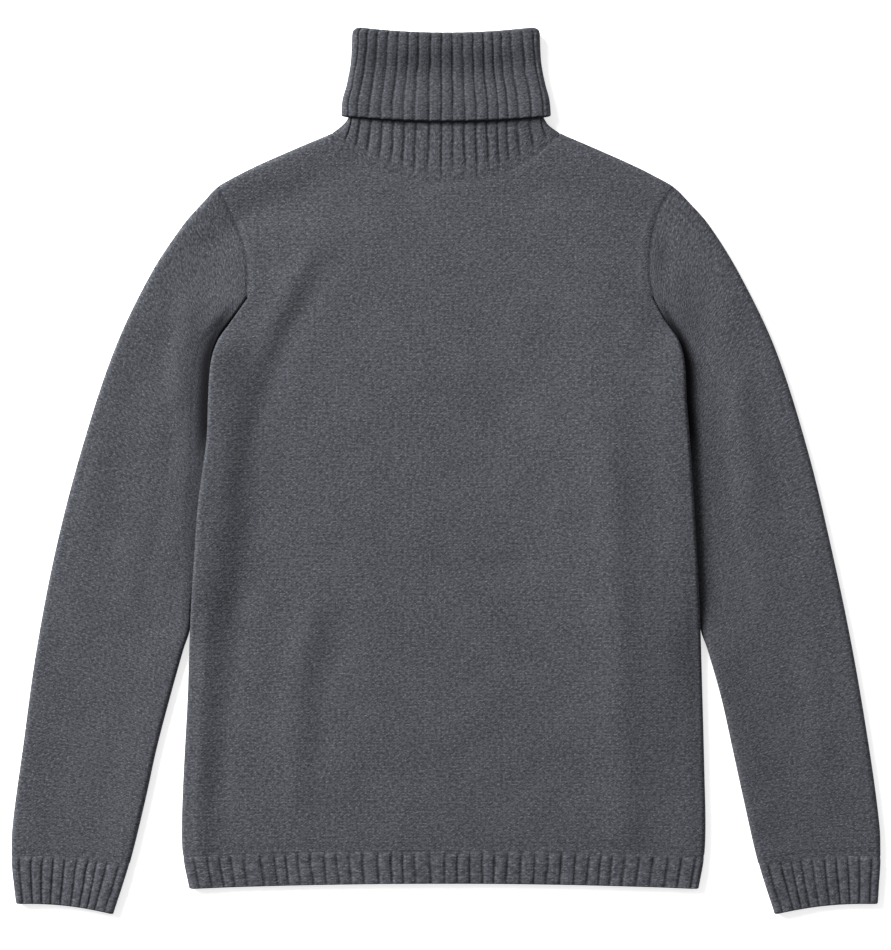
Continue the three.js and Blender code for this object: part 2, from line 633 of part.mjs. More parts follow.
function collar() {
  const top = COLLAR[0];
  const edge = COLLAR.at(-1);
  const stand = ({ y, stand: half }, inner) => ({
    y,
    half: half - (inner ? WALL : 0),
    radius: NECK_GAP + (inner ? 0 : WALL),
    middle: collarMiddle(y),
  });
  const turned = ({ y, turned: half }, { inset = 0, strength = 0 }) => ({
    y,
    half: half - inset,
    radius: collarMiddle(y) - inset,
    middle: collarMiddle(y),
    strength,
  });
  const topFold = (degrees, inner, strength = 0) => {
    const outerRadius = WALL + top.slack / 2;
    const radius = outerRadius - (inner ? WALL : 0);
    const inwards = outerRadius - radius * Math.cos(radians(degrees));
    const y = COLLAR_TOP_Y - outerRadius + radius * Math.sin(radians(degrees));
    const middle = collarMiddle(top.y);
    return { y, half: top.turned - inwards, radius: middle - inwards, middle, strength };
  };
  const upwards = [...COLLAR].reverse().slice(1);
  return tube([
    ...STAND.outside.map((share) => standRing(share, { strength: 1 - share ** 4 })),
    ...upwards.map((row) => collarRing(stand(row, false))),
    ...TOP_FOLD.hollow.map((degrees) => collarRing(topFold(degrees, true))),
    ...COLLAR.map((row) => collarRing(turned(row, { inset: WALL }))),
    collarRing(turned(edge, { inset: RIB.edge, strength: RIB.atEdge }), true),
    collarRing(turned({ ...edge, y: edge.y + RIB.edge }, { strength: 1 }), true),
    ...upwards.map((row) => collarRing(turned(row, { strength: 1 }), true)),
    ...TOP_FOLD.ribbed.map((degrees) => collarRing(topFold(degrees, false, 1), true)),
    ...TOP_FOLD.plain.map((degrees) => collarRing(topFold(degrees, false))),
    ...COLLAR.map((row) => collarRing(stand(row, true))),
    ...STAND.inside.map((share) => standRing(share, { inner: true })),
  ]);
}

// The garment
const PLAIN_WOOL = new THREE.MeshStandardMaterial({ color: 0x58595e, roughness: 0.95, metalness: 0 });
const RIBBED_WOOL = new THREE.MeshStandardMaterial({ color: 0x515257, roughness: 0.95, metalness: 0 });

const sweater = new THREE.Group();
sweater.name = "turtleneck_sweater";

function add(name, geometry, wool) {
  const mesh = new THREE.Mesh(geometry, wool.clone());
  mesh.name = name;
  sweater.add(mesh);
}

add("front", bodyPanel({ front: true, columns: FRONT_COLUMNS, lowest: NECKLINE.front }), PLAIN_WOOL);
add("back", bodyPanel({ front: false, columns: BACK_COLUMNS, lowest: NECKLINE.back }), PLAIN_WOOL);
for (const side of Object.keys(SIDES)) {
  add(`sleeve_${side}`, sleeve(side), PLAIN_WOOL);
  add(`cuff_${side}`, cuff(side), RIBBED_WOOL);
}
add("hem_front", hemBand({ front: true }), RIBBED_WOOL);
add("hem_back", hemBand({ front: false }), RIBBED_WOOL);
add("collar", collar(), RIBBED_WOOL);

export default sweater;
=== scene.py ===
# %% [markdown]
# # A felted wool turtleneck, laid flat
# The sweater lies on its back on a pale surface and is seen from straight above, with its collar turned
# down. It is knitted in pieces: a front, a back, two sleeves, cuffs, a hem band and a tube for the collar.
# The frame already holds each piece as a plain solid of its real size. This script dresses each one with a
# thin shell of cloth on the same form, fine enough for real ribs, seams and soft folds.

# %% The frame
import math

import bpy
import numpy as np
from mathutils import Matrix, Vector


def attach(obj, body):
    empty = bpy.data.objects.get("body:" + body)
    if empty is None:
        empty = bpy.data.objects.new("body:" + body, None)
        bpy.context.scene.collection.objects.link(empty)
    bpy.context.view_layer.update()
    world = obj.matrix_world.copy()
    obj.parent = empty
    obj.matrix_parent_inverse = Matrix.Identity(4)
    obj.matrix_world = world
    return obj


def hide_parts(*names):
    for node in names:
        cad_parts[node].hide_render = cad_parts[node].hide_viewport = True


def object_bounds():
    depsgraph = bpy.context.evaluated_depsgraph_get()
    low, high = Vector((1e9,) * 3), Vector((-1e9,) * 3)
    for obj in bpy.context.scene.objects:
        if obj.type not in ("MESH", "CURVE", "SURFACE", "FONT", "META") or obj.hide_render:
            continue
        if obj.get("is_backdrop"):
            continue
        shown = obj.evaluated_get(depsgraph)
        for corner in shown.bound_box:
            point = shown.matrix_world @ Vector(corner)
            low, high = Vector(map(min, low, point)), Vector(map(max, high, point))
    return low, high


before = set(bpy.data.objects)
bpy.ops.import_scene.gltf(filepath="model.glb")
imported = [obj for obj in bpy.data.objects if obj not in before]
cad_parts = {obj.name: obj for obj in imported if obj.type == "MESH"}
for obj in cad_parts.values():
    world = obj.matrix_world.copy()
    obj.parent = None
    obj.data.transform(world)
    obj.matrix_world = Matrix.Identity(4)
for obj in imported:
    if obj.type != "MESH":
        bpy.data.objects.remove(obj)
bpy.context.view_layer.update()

# %% [markdown]
# ## The outline
# A garment's outline is its cut. It could be drawn as a curve object, but every later step needs to ask
# where an edge is at some height, so short tables are handier: half widths in millimetres at heights up
# the garment, one column for the wearer's left side and one for the right, with a smooth curve through the
# rows.

# %% Heights of the main lines
NECK_Y = 293.6
SHOULDER_Y = 247.5
UNDERARM_Y = 149.2
HEM_Y = -334.0
HEM_END_Y = -363.4
HEM_BOW = 4.4
CUFF_BOW = 2.9
CUFF_OUTER = {"seam": -334.5, "end": -376.5}
CUFF_INNER = {"seam": -341.0, "end": -385.6}
NECKLINE = {"half": 99.6, "power": 2.35, "front": 251.2, "back": 281.0}


def outline(*rows):
    """A table of half widths with named columns, its rows going down the garment."""
    return np.array(list(rows), dtype=[("y", float), ("left", float), ("right", float)])


# %% The shoulders and the outer edges of the sleeves
OUTER_FOLD = outline(
    (304, 84.8, 84.8),
    (300.5, 87.2, 87.2),
    (297.1, 92.4, 92.4),
    (NECK_Y, 99.6, 99.6),
    (281.5, 127.9, 128.3),
    (265.8, 163.2, 164),
    (255.3, 184, 184.9),
    (SHOULDER_Y, 197.6, 198.2),
    (236.2, 209.2, 209.2),
    (214.5, 228.4, 228.4),
    (171, 255.5, 257.1),
    (105.7, 286.7, 288.4),
    (18.7, 314.5, 317.1),
    (-68.3, 335.6, 339.6),
    (-155.3, 353.7, 356.3),
    (-242.3, 368.4, 368.4),
    (-307.5, 377.1, 377.1),
    (-334.5, 378, 378),
    (-351, 377.4, 377.1),
    (-376.5, 375.6, 374),
)

# %% The armholes, the body's sides and the sleeves' inner edges
ARMHOLE = outline(
    (SHOULDER_Y, 197.6, 198.2),
    (226.6, 185.6, 188.6),
    (207.1, 179.8, 179.8),
    (186, 177.1, 174.3),
    (166, 177.4, 172.9),
    (UNDERARM_Y, 181, 173.6),
)
BODY_SIDE = outline(
    (UNDERARM_Y, 181, 173.6),
    (130.1, 191.4, 187),
    (113.5, 202.4, 198.3),
    (94, 207.3, 204.3),
    (62.2, 209, 206.6),
    (27.4, 211.8, 208),
    (-28.2, 215.5, 215.3),
    (-77, 218.2, 218.8),
    (-137.9, 221.3, 222.6),
    (-198.8, 223.2, 224.9),
    (-264, 224.9, 228.4),
    (-307.5, 225.8, 229.9),
    (HEM_Y, 224.7, 229),
    (HEM_END_Y, 219.6, 223.4),
)
INNER_FOLD = outline(
    (UNDERARM_Y, 181.1, 173.7),
    (130.1, 191.5, 187.1),
    (113.5, 202.5, 198.4),
    (94, 207.1, 204.1),
    (62.2, 202.8, 200.2),
    (27.4, 200.2, 198.2),
    (-7.4, 201.5, 200.1),
    (-42.2, 205.6, 204.8),
    (-77, 212.2, 212.2),
    (-111.8, 219.7, 220.6),
    (-137.9, 221.5, 222.8),
    (-155.3, 227.5, 228.4),
    (-198.8, 239.7, 240.6),
    (-242.3, 249.3, 251.9),
    (-285.8, 258.8, 261.4),
    (-341, 271.5, 275),
    (-385.6, 285.6, 289.2),
)

# %% Reading the tables
SIDES = {"left": 1, "right": -1}


def lerp(a, b, t):
    return a + (b - a) * t


def smooth(t):
    t = np.clip(t, 0, 1)
    return t * t * (3 - 2 * t)


def smoothstep(x, low, high):
    return smooth((x - low) / (high - low))


def at(table, column, y):
    """A column's value at any heights, on a smooth curve through the table's rows."""
    heights, values = table["y"], table[column]
    y = np.asarray(y, float)
    i = np.clip(np.searchsorted(-heights, -y, side="right") - 1, 0, len(heights) - 2)
    before = np.maximum(np.arange(len(heights)) - 1, 0)
    after = np.minimum(np.arange(len(heights)) + 1, len(heights) - 1)
    tangent = (values[after] - values[before]) / (heights[after] - heights[before])
    span = heights[i + 1] - heights[i]
    t = np.clip((y - heights[i]) / span, 0, 1)
    curve = lerp(values[i], values[i + 1], t * t * (3 - 2 * t))
    return curve + span * t * (1 - t) * ((1 - t) * tangent[i] - t * tangent[i + 1])


def edge_point(table, side, y):
    """A point of the plan as a complex number: across the garment, and up it."""
    return SIDES[side] * at(table, side, y) + 1j * np.asarray(y, float)


print("body is", round(float(at(BODY_SIDE, "left", 0) + at(BODY_SIDE, "right", 0))), "mm wide")

# %% [markdown]
# ## The plan of a piece
# A cut piece has four edges. A sheet between four curves can be blended from them, so that any edge may
# bend and the knit inside follows it, as the courses and wales of a shaped piece do. Complex numbers keep
# this short: one number is a point of the plan, and a whole grid of them is worked out at once.

# %% A sheet between four edges
NECK_SHARE = 0.25


def patch(bottom, top, start, end):
    """The plan of a sheet: each edge is a function of a share from 0 to 1 along it."""

    def plan(u, v):
        flat = bottom(u) * (1 - v) + top(u) * v + start(v) * (1 - u) + end(v) * u
        low = bottom(0.0) * (1 - u) + bottom(1.0) * u
        high = top(0.0) * (1 - u) + top(1.0) * u
        return flat - low * (1 - v) - high * v

    return plan


def hem_bow(u):
    return HEM_BOW * (1 - (2 * u - 1) ** 2)


def neckline(x, lowest):
    return lerp(lowest, NECK_Y, (np.abs(x) / NECKLINE["half"]) ** NECKLINE["power"])


def body_side(side):
    def edge(v):
        y = lerp(HEM_Y, SHOULDER_Y, v)
        return np.where(y > UNDERARM_Y, edge_point(ARMHOLE, side, y), edge_point(BODY_SIDE, side, y))

    return edge


def hem_seam(u):
    x = lerp(-at(BODY_SIDE, "right", HEM_Y), at(BODY_SIDE, "left", HEM_Y), u)
    return x + 1j * (HEM_Y + hem_bow(u))


def shoulders_and_neckline(lowest):
    def edge(u):
        right = edge_point(OUTER_FOLD, "right", lerp(SHOULDER_Y, NECK_Y, np.clip(u / NECK_SHARE, 0, 1)))
        left = edge_point(OUTER_FOLD, "left", lerp(SHOULDER_Y, NECK_Y, np.clip((1 - u) / NECK_SHARE, 0, 1)))
        x = (u - 0.5) / (0.5 - NECK_SHARE) * NECKLINE["half"]
        shoulder = np.where(np.asarray(u) < 0.5, right, left)
        return np.where(np.abs(x) >= NECKLINE["half"], shoulder, x + 1j * neckline(x, lowest))

    return edge


# %% The plan of a sleeve, from the armhole to the cuff
def sleeve_patch(side):
    def cuff_seam(u):
        outer = edge_point(OUTER_FOLD, side, CUFF_OUTER["seam"])
        inner = edge_point(INNER_FOLD, side, CUFF_INNER["seam"])
        return lerp(outer, inner, u) + 1j * 4 * CUFF_BOW * u * (1 - u)

    def armhole(u):
        return edge_point(ARMHOLE, side, lerp(SHOULDER_Y, UNDERARM_Y, u))

    def outer(v):
        return edge_point(OUTER_FOLD, side, lerp(SHOULDER_Y, CUFF_OUTER["seam"], v))

    def inner(v):
        return edge_point(INNER_FOLD, side, lerp(UNDERARM_Y, CUFF_INNER["seam"], v))

    return patch(armhole, cuff_seam, outer, inner)


# %% Distances in the plan
LINE_STEPS = 70


def line_of(table, side):
    return edge_point(table, side, np.linspace(table["y"][0], table["y"][-1], LINE_STEPS))


def distance_to(line, plan):
    """Distance from each point of a plan to a line of points."""
    shape, plan = np.shape(plan), np.ravel(plan)
    best = np.full(plan.shape, np.inf)
    for start, end in zip(line[:-1], line[1:]):
        along = end - start
        share = np.clip(((plan - start) * np.conj(along)).real / abs(along) ** 2, 0, 1)
        np.minimum(best, np.abs(plan - start - share * along), out=best)
    return best.reshape(shape)


def nearest_side(plan, table):
    """Distance to a line that the garment has on both sides."""
    left, right = (distance_to(line_of(table, side), plan) for side in SIDES)
    return np.where(plan.real > 0, left, right)


def side_value(plan, table):
    """The outline's half width at each point's own side and height."""
    return np.where(plan.real > 0, at(table, "left", plan.imag), at(table, "right", plan.imag))


# %% [markdown]
# ## How the cloth lies
# Two layers of thick knit meet in a rounded fold and never press quite flat. Between its folds the upper
# layer sinks. The body's sides lie on the sleeves' inner edges, so they rise there and slope down inside,
# which gives the long soft shadow down each side. A cloth simulation could find this, but it would also
# move the outline, so the same heights are written as functions of the plan.

# %% Thickness, folds and sag, in millimetres
WALL = 2.6
FOLD_RADIUS = 4.4
TUCKED_RADIUS = 2.9
SAG = 1.6
SAG_SPAN = 34
CREASE_SPAN = 14
SLOPES = {
    "left": {"far": 165, "near": 50, "top": (205, 40), "bottom": (-330, -60)},
    "right": {"far": 56, "near": 0, "top": (150, 70), "bottom": (-190, -80)},
}
LEAST_ROOM = 0.3
LIFT = {"height": 6.6, "top": (130, 96), "bottom": (-175, -90), "margin": 1.5, "ramp": 32}
PRESSED = {"top": (UNDERARM_Y, 104), "bottom": (-155, -105), "full": 15, "none": 60}


def within_heights(band, y):
    """1 between a band's full heights, fading to 0 at its others."""
    none, full = band["top"]
    return smoothstep(y, *band["bottom"]) * (1 - smoothstep(y, full, none))


def body_lift(plan):
    edge = side_value(plan, INNER_FOLD) - LIFT["margin"]
    across = smoothstep(np.abs(plan.real), edge - LIFT["ramp"], edge)
    return LIFT["height"] * within_heights(LIFT, plan.imag) * across


# %% [markdown]
# ### Creases
# The photo's larger creases are soft ridges and troughs, each on a line of its own, uneven in length and
# depth. A short table places them. Smaller unevenness, which every hand-laid knit has, comes from
# smooth seeded noise of a few sizes, far too shallow to read as a pattern.

# %% The crease table
def crease_table(*rows):
    """Each row says where on the garment it lies, its line from, via and to, its width and its height."""
    return [dict(zip(("on", "from", "via", "to", "width", "height"), row)) for row in rows]


CREASES = crease_table(
    ("right chest", (-104, 202), (-138, 152), (-162, 84), 13, 2.2),
    ("under it", (-106, 172), (-158, 66), (-170, -40), 13, -1.6),
    ("below that", (-168, -10), (-180, -120), (-200, -305), 13, -1.3),
    ("right shoulder", (-218, 170), (-170, 222), (-92, 238), 17, -1.8),
    ("left shoulder", (58, 248), (132, 236), (198, 204), 15, -1.8),
    ("left seam", (186, 228), (192, 190), (188, 156), 9, -1.3),
    ("left chest", (92, 200), (130, 172), (152, 124), 17, 1.2),
    ("right edge", (-208, -110), (-214, -220), (-215, -350), 12, 1.6),
    ("right side", (-102, -98), (-130, -186), (-127, -306), 14, 1.8),
    ("beside it", (-86, -130), (-106, -196), (-104, -268), 13, -0.9),
    ("left side", (138, 44), (149, -130), (154, -345), 16, 1.8),
    ("around it", (166, -20), (172, -170), (176, -330), 44, 2.0),
    ("belly", (-62, -205), (-8, -222), (50, -208), 20, 0.9),
    ("waist", (-52, -60), (10, -88), (88, -70), 16, -0.7),
    ("breast", (-60, 96), (0, 80), (70, 100), 22, 0.8),
    ("right sleeve", (-218, 172), (-229, 110), (-238, 42), 11, 1.6),
    ("lower right sleeve", (-292, 40), (-312, -70), (-322, -190), 15, 1.2),
    ("left sleeve", (234, 160), (254, 62), (272, -40), 14, 1.9),
    ("lower left sleeve", (306, -60), (318, -160), (330, -270), 14, 1.2),
)
CREASE_END = 2.5
CREASE_LEAST = 0.28

# %% [markdown]
# The underside carries the garment's weight, so it can't bulge. Its creases are hollows, where the cloth
# has lifted a little off the table.

# %% Hollows under the back and the sleeves
HOLLOWS = crease_table(
    ("shoulders", (-120, 205), (-70, 172), (-30, 150), 14, 0.9),
    ("left blade", (70, 190), (112, 150), (122, 96), 17, 0.8),
    ("waist", (-150, 20), (-40, -12), (60, 2), 12, 1.1),
    ("left side", (170, -60), (150, -190), (160, -300), 16, 1),
    ("right side", (-176, -120), (-150, -220), (-168, -318), 13, 0.9),
    ("low back", (-70, -180), (4, -226), (84, -214), 19, 0.8),
    ("right sleeve", (-262, 60), (-280, -60), (-300, -150), 14, 0.9),
    ("left sleeve", (244, 110), (268, 20), (276, -80), 15, 0.9),
)


def crease_height(plan, creases):
    height = np.zeros(np.shape(plan))
    for crease in creases:
        start, via, end = (complex(*crease[key]) for key in ("from", "via", "to"))
        control = 2 * via - (start + end) / 2
        t = np.linspace(0, 1, 24)
        line = start * (1 - t) ** 2 + 2 * control * t * (1 - t) + end * t**2
        away = distance_to(line, plan) / crease["width"]
        to_end = np.minimum(np.abs(plan - start), np.abs(plan - end)) / (CREASE_END * crease["width"])
        height += crease["height"] * np.exp(-(away**2)) * lerp(CREASE_LEAST, 1, smooth(to_end))
    return height


# %% Smooth unevenness
LATTICE = 512


def unevenness(plan, size, seed):
    """Smooth random numbers from -1 to 1 over a plan, with bumps about size apart."""
    values = np.random.default_rng(seed).uniform(-1, 1, (LATTICE, LATTICE))
    x, y = plan.real / size, plan.imag / size
    i, j = np.floor(x).astype(int), np.floor(y).astype(int)
    s, t = smooth(x - i), smooth(y - j)
    near = lerp(values[i % LATTICE, j % LATTICE], values[(i + 1) % LATTICE, j % LATTICE], s)
    far = lerp(values[i % LATTICE, (j + 1) % LATTICE], values[(i + 1) % LATTICE, (j + 1) % LATTICE], s)
    return lerp(near, far, t)


WAVES = [(52, 0.34, 3), (23, 0.2, 4), (10, 0.1, 5), (4.6, 0.06, 6)]


def waves(plan):
    """Unevenness of a few sizes together: each size of bump with its own height."""
    return sum(height * unevenness(plan, size, seed) for size, height, seed in WAVES)


def hollows(plan):
    """How far the underside has lifted off the table."""
    return np.maximum(crease_height(plan, HOLLOWS) + 0.25 * unevenness(plan, 34, 8) - 0.1, 0)


# %% The two forms: body and sleeve
def front_drop(plan, distance, radius):
    """How far the upper layer lies below or above the height of its folds."""
    inward = smoothstep(distance - radius, 0, SAG_SPAN)
    room = 2 * (radius - WALL)
    sag = np.minimum(SAG, np.maximum(room - 1, 0))
    creases = smoothstep(distance, 3, CREASE_SPAN) * crease_height(plan, CREASES)
    return np.maximum(creases - inward * sag, LEAST_ROOM - room)


def long_slopes(plan):
    """Where the body lies on the sleeves, its front spans the step in a long slope, not a short ramp."""
    sides = []
    for side, slope in SLOPES.items():
        fold, seam = (at(table, side, plan.imag) for table in (INNER_FOLD, BODY_SIDE))
        edge = np.minimum(fold, seam) - LIFT["margin"]
        across = SIDES[side] * plan.real
        span = smoothstep(across, edge - slope["far"], edge - slope["near"])
        ramp = smoothstep(across, edge - LIFT["ramp"], edge)
        sides.append(within_heights(slope, plan.imag) * np.maximum(span - ramp, 0))
    return LIFT["height"] * (sides[0] + sides[1])


def body_form(plan):
    distance = np.minimum(nearest_side(plan, OUTER_FOLD), nearest_side(plan, BODY_SIDE))
    return FOLD_RADIUS, body_lift(plan), front_drop(plan, distance, FOLD_RADIUS) + long_slopes(plan)


# The dip and the painted shade on a sleeve beside the body's edge.
CREVICE = {
    "width": {"low": 5, "left": 8, "right": 12},
    "widens": (-120, 50),
    "faint": 0.45,
    "deepens": (0, 40),
    "top": (150, 124),
    "bottom": (-185, -120),
    "dip": 2.6,
}


def crevice(plan):
    """Near 1 on a sleeve right beside the body's edge: it sets how far the cloth dips there, and the painted
    shade laid on it.
    """
    beyond = np.maximum(np.abs(plan.real) - side_value(plan, BODY_SIDE), 0)
    widest = np.where(plan.real > 0, CREVICE["width"]["left"], CREVICE["width"]["right"])
    width = lerp(CREVICE["width"]["low"], widest, smoothstep(plan.imag, *CREVICE["widens"]))
    deep = lerp(CREVICE["faint"], 1, smoothstep(plan.imag, *CREVICE["deepens"]))
    return within_heights(CREVICE, plan.imag) * deep * np.exp(-((beyond / width) ** 3))


def sleeve_form(plan):
    from_inner = nearest_side(plan, INNER_FOLD)
    near = 1 - smoothstep(from_inner, PRESSED["full"], PRESSED["none"])
    radius = lerp(FOLD_RADIUS, TUCKED_RADIUS, within_heights(PRESSED, plan.imag) * near)
    distance = np.minimum(nearest_side(plan, OUTER_FOLD), from_inner)
    dip = CREVICE["dip"] * crevice(plan) * smoothstep(from_inner, 1.5, 7)
    drop = np.maximum(front_drop(plan, distance, radius) - dip, LEAST_ROOM - 2 * (radius - WALL))
    return radius, np.zeros(np.shape(plan)), drop


# %% [markdown]
# ### Seams
# The sleeves are linked into the armholes. Such a seam pulls in a fine groove, and the allowance behind it
# shows as a faint ridge on the body. Both are depths by distance from the seam's line, so the pieces on
# either side of it sink alike. The groove also carries a little painted shade.

# %% Grooves along the seams
SEAMS = {
    "groove": 0.55,
    "groove width": 1.7,
    "ridge": 0.3,
    "ridge at": 6.5,
    "ridge width": 2.4,
    "shade": 0.34,
}


def armhole_relief(plan, on_body):
    distance = nearest_side(plan, ARMHOLE)
    groove = -SEAMS["groove"] * np.exp(-((distance / SEAMS["groove width"]) ** 2))
    if not on_body:
        return groove
    return groove + SEAMS["ridge"] * np.exp(-(((distance - SEAMS["ridge at"]) / SEAMS["ridge width"]) ** 2))


def seam_shade(plan):
    """How much painted shade a point gets from lying in the armhole seam's groove."""
    return SEAMS["shade"] * np.exp(-((nearest_side(plan, ARMHOLE) / 1.3) ** 2))


def band_relief(distance, depth=0.4, width=2.5):
    """The shallow groove where plain knit meets a ribbed band."""
    return -depth * np.exp(-((distance / width) ** 2))


# %% [markdown]
# ## Building a shell of cloth
# Each piece is one closed thin shell: a fine outer face, a coarser inner face one wall inside, and rims
# that join them. Blender's Solidify modifier would make the inner face as fine as the outer one, which
# doubles the mesh for cloth that nobody sees, so the shell is put together from its own rows of points.

# %% Faces between rows of points
def quads(grid):
    corners = [grid[:-1, :-1], grid[:-1, 1:], grid[1:, 1:], grid[1:, :-1]]
    return np.stack(corners, -1).reshape(-1, 4)


def stitch(a, b, place_a, place_b):
    """Triangles between two rows of points whose numbers differ, matched by their places along the row."""
    middles = np.concatenate([place_a[1:] + place_a[:-1], place_b[1:] + place_b[:-1]])
    on_a = np.concatenate([np.ones(len(a) - 1, bool), np.zeros(len(b) - 1, bool)])
    on_a = on_a[np.argsort(middles, kind="stable")]
    i = np.cumsum(on_a) - on_a
    j = np.cumsum(~on_a) - ~on_a
    third = np.where(on_a, a[np.minimum(i + 1, len(a) - 1)], b[np.minimum(j + 1, len(b) - 1)])
    return np.stack([a[i], third, b[j]], axis=1)


def volume(points, faces):
    """Signed volume of a closed surface: below nought if its faces point inwards."""
    a, b, c = (points[faces[:, k]] for k in range(3))
    return float(np.einsum("ij,ij->i", a, np.cross(b, c)).sum() / 6)


# %% One side of a piece's wall
class Face:
    """A grid of points in rows, with the places of its columns and rows, each point's place in the knit, how
    much painted shade it carries, and how far the knit there has turned from plain to rib."""

    def __init__(self, points, across, up, knit, painted_shade=0.0, rib=0.0):
        self.points = points
        self.across = np.asarray(across, float)
        self.up = np.asarray(up, float)
        self.values = {
            "knit": knit,
            "painted_shade": np.broadcast_to(painted_shade, points.shape[:2]),
            "rib": np.broadcast_to(rib, points.shape[:2]),
        }


def stacked(*grids):
    """Grids of the same size, put together as the coordinates of one."""
    return np.stack(np.broadcast_arrays(*grids), -1)


# %% Crisp corners along a cut edge
def keep_crisp(mesh, rows):
    """Shading stops at these rows of points, so that a seam closes without a dark line."""
    ends = np.empty(len(mesh.edges) * 2, np.int32)
    mesh.edges.foreach_get("vertices", ends)
    sharp = np.zeros(len(mesh.edges), bool)
    for row in rows:
        order = np.full(len(mesh.vertices), -9)
        order[row] = np.arange(len(row))
        a, b = order[ends[::2]], order[ends[1::2]]
        step = np.abs(a - b)
        sharp |= (a >= 0) & (b >= 0) & ((step == 1) | (step == len(row) - 2))
    mesh.attributes.new("sharp_edge", "BOOLEAN", "EDGE").data.foreach_set("value", sharp)


# %% One closed shell from its two sides
METRES = 0.001
ATTRIBUTES = [("knit", "FLOAT_VECTOR", "vector"), ("painted_shade", "FLOAT", "value"), ("rib", "FLOAT", "value")]


def shell(name, outer, inner, tube, soft_end=False):
    """A closed mesh object from two faces. A tube's columns run round and meet."""
    rows, columns = outer.points.shape[:2]
    first = rows * columns
    grid_out = np.arange(first).reshape(rows, columns)
    grid_in = first + np.arange(inner.points.shape[0] * inner.points.shape[1]).reshape(inner.points.shape[:2])
    across_out, across_in = outer.across, inner.across
    if tube:
        grid_out = np.column_stack([grid_out, grid_out[:, 0]])
        grid_in = np.column_stack([grid_in, grid_in[:, 0]])
        across_out, across_in = np.append(across_out, 2.0), np.append(across_in, 2.0)
    rims = [
        stitch(grid_in[0], grid_out[0], across_in, across_out),
        stitch(grid_out[-1], grid_in[-1], across_out, across_in),
    ]
    if not tube:
        rims.append(stitch(grid_out[:, 0], grid_in[:, 0], outer.up, inner.up))
        rims.append(stitch(grid_in[:, -1], grid_out[:, -1], inner.up, outer.up))
    points = np.concatenate([face.points.reshape(-1, 3) for face in (outer, inner)]) * METRES
    four = np.concatenate([quads(grid_out), quads(grid_in)[:, ::-1]])
    three = np.concatenate(rims)
    halves = np.concatenate([four[:, [0, 1, 2]], four[:, [0, 2, 3]], three])
    if volume(points, halves) < 0:
        four, three = four[:, ::-1], three[:, ::-1]
    mesh = bpy.data.meshes.new(name)
    mesh.from_pydata(points.tolist(), [], four.tolist() + three.tolist())
    mesh.shade_smooth()
    cut = [grid_out[0], grid_in[0]]
    if not soft_end:
        cut += [grid_out[-1], grid_in[-1]]
    if not tube:
        cut += [grid_out[:, 0], grid_in[:, 0], grid_out[:, -1], grid_in[:, -1]]
    keep_crisp(mesh, cut)
    for key, kind, slot in ATTRIBUTES:
        values = np.concatenate([face.values[key].ravel() for face in (outer, inner)])
        mesh.attributes.new(key, kind, "POINT").data.foreach_set(slot, values)
    piece = bpy.data.objects.new(name, mesh)
    bpy.context.scene.collection.objects.link(piece)
    print(name, "has", len(halves), "triangles")
    return piece


# %% [markdown]
# ## Front and back
# Each is a shaped panel of plain knit. Its outermost columns roll down to the side fold, its topmost rows
# to the shoulder fold, and at the armholes, the neckline and the hem it ends in a cut edge. An angle says
# how far round a fold a point is, from 0 at its outermost line to 90 on the flat, so one rule serves all
# of them.

# %% Columns and rows that crowd together round a fold
FOLD_DEGREES = np.linspace(0, 90, 7)
FOLDS = len(FOLD_DEGREES)
BODY_WIDTH = 452.0
BODY_HEIGHT = SHOULDER_Y - HEM_Y
NECKLINE_LENGTH = 2.6 * NECKLINE["half"]


def cosine(degrees):
    return np.cos(np.radians(degrees))


def sine(degrees):
    return np.sin(np.radians(degrees))


FOLD_OUT = FOLD_RADIUS * (1 - cosine(FOLD_DEGREES))


def between(start, end, step):
    """Places after start, up to end, about a step apart."""
    return np.linspace(start, end, max(int(round((end - start) / step)), 1) + 1)[1:]


def body_columns(step):
    """Shares of the width, with the angle round the side fold and round the neck point."""
    shoulder = between(FOLD_RADIUS / BODY_WIDTH, NECK_SHARE, step / BODY_WIDTH)
    neck = NECK_SHARE + FOLD_OUT[1:] / NECKLINE_LENGTH / 2
    middle = between(neck[-1], 0.5, step / BODY_WIDTH)
    u = np.concatenate([np.zeros(FOLDS), shoulder, neck, middle])
    side = np.concatenate([FOLD_DEGREES, np.full(len(u) - FOLDS, 90.0)])
    top = np.concatenate([np.zeros(FOLDS + len(shoulder)), FOLD_DEGREES[1:], np.full(len(middle), 90.0)])
    mirror = slice(-2, None, -1)
    return np.append(u, 1 - u[mirror]), np.append(side, side[mirror]), np.append(top, top[mirror])


def body_rows(step):
    """Shares of the height, with the angle round the side fold's end and round the shoulder fold."""
    underarm = (UNDERARM_Y - HEM_Y) / BODY_HEIGHT
    body = np.append(0, between(0, underarm, step / BODY_HEIGHT))
    fork = underarm + FOLD_OUT[1:] / BODY_HEIGHT
    armhole = between(fork[-1], 1 - FOLD_RADIUS / BODY_HEIGHT, step / BODY_HEIGHT)[:-1]
    v = np.concatenate([body, fork, armhole, np.ones(FOLDS)])
    side = np.concatenate([np.zeros(len(body)), FOLD_DEGREES[1:], np.full(len(armhole) + FOLDS, 90.0)])
    shoulder = np.concatenate([np.full(len(v) - FOLDS, 90.0), FOLD_DEGREES[::-1]])
    return v, side, shoulder


# %% Height of a point of the upper or the lower layer
SEAM_GAP = 0.1


def layer_height(form, plan, degrees, front, inner):
    """Height on a layer's outer face, or on its inner face one wall inside."""
    radius, lift, drop = form(plan)
    half = np.maximum((radius - (WALL if inner else 0)) * sine(degrees), SEAM_GAP / 2)
    return lift + radius + np.where(front, half + drop, -half)


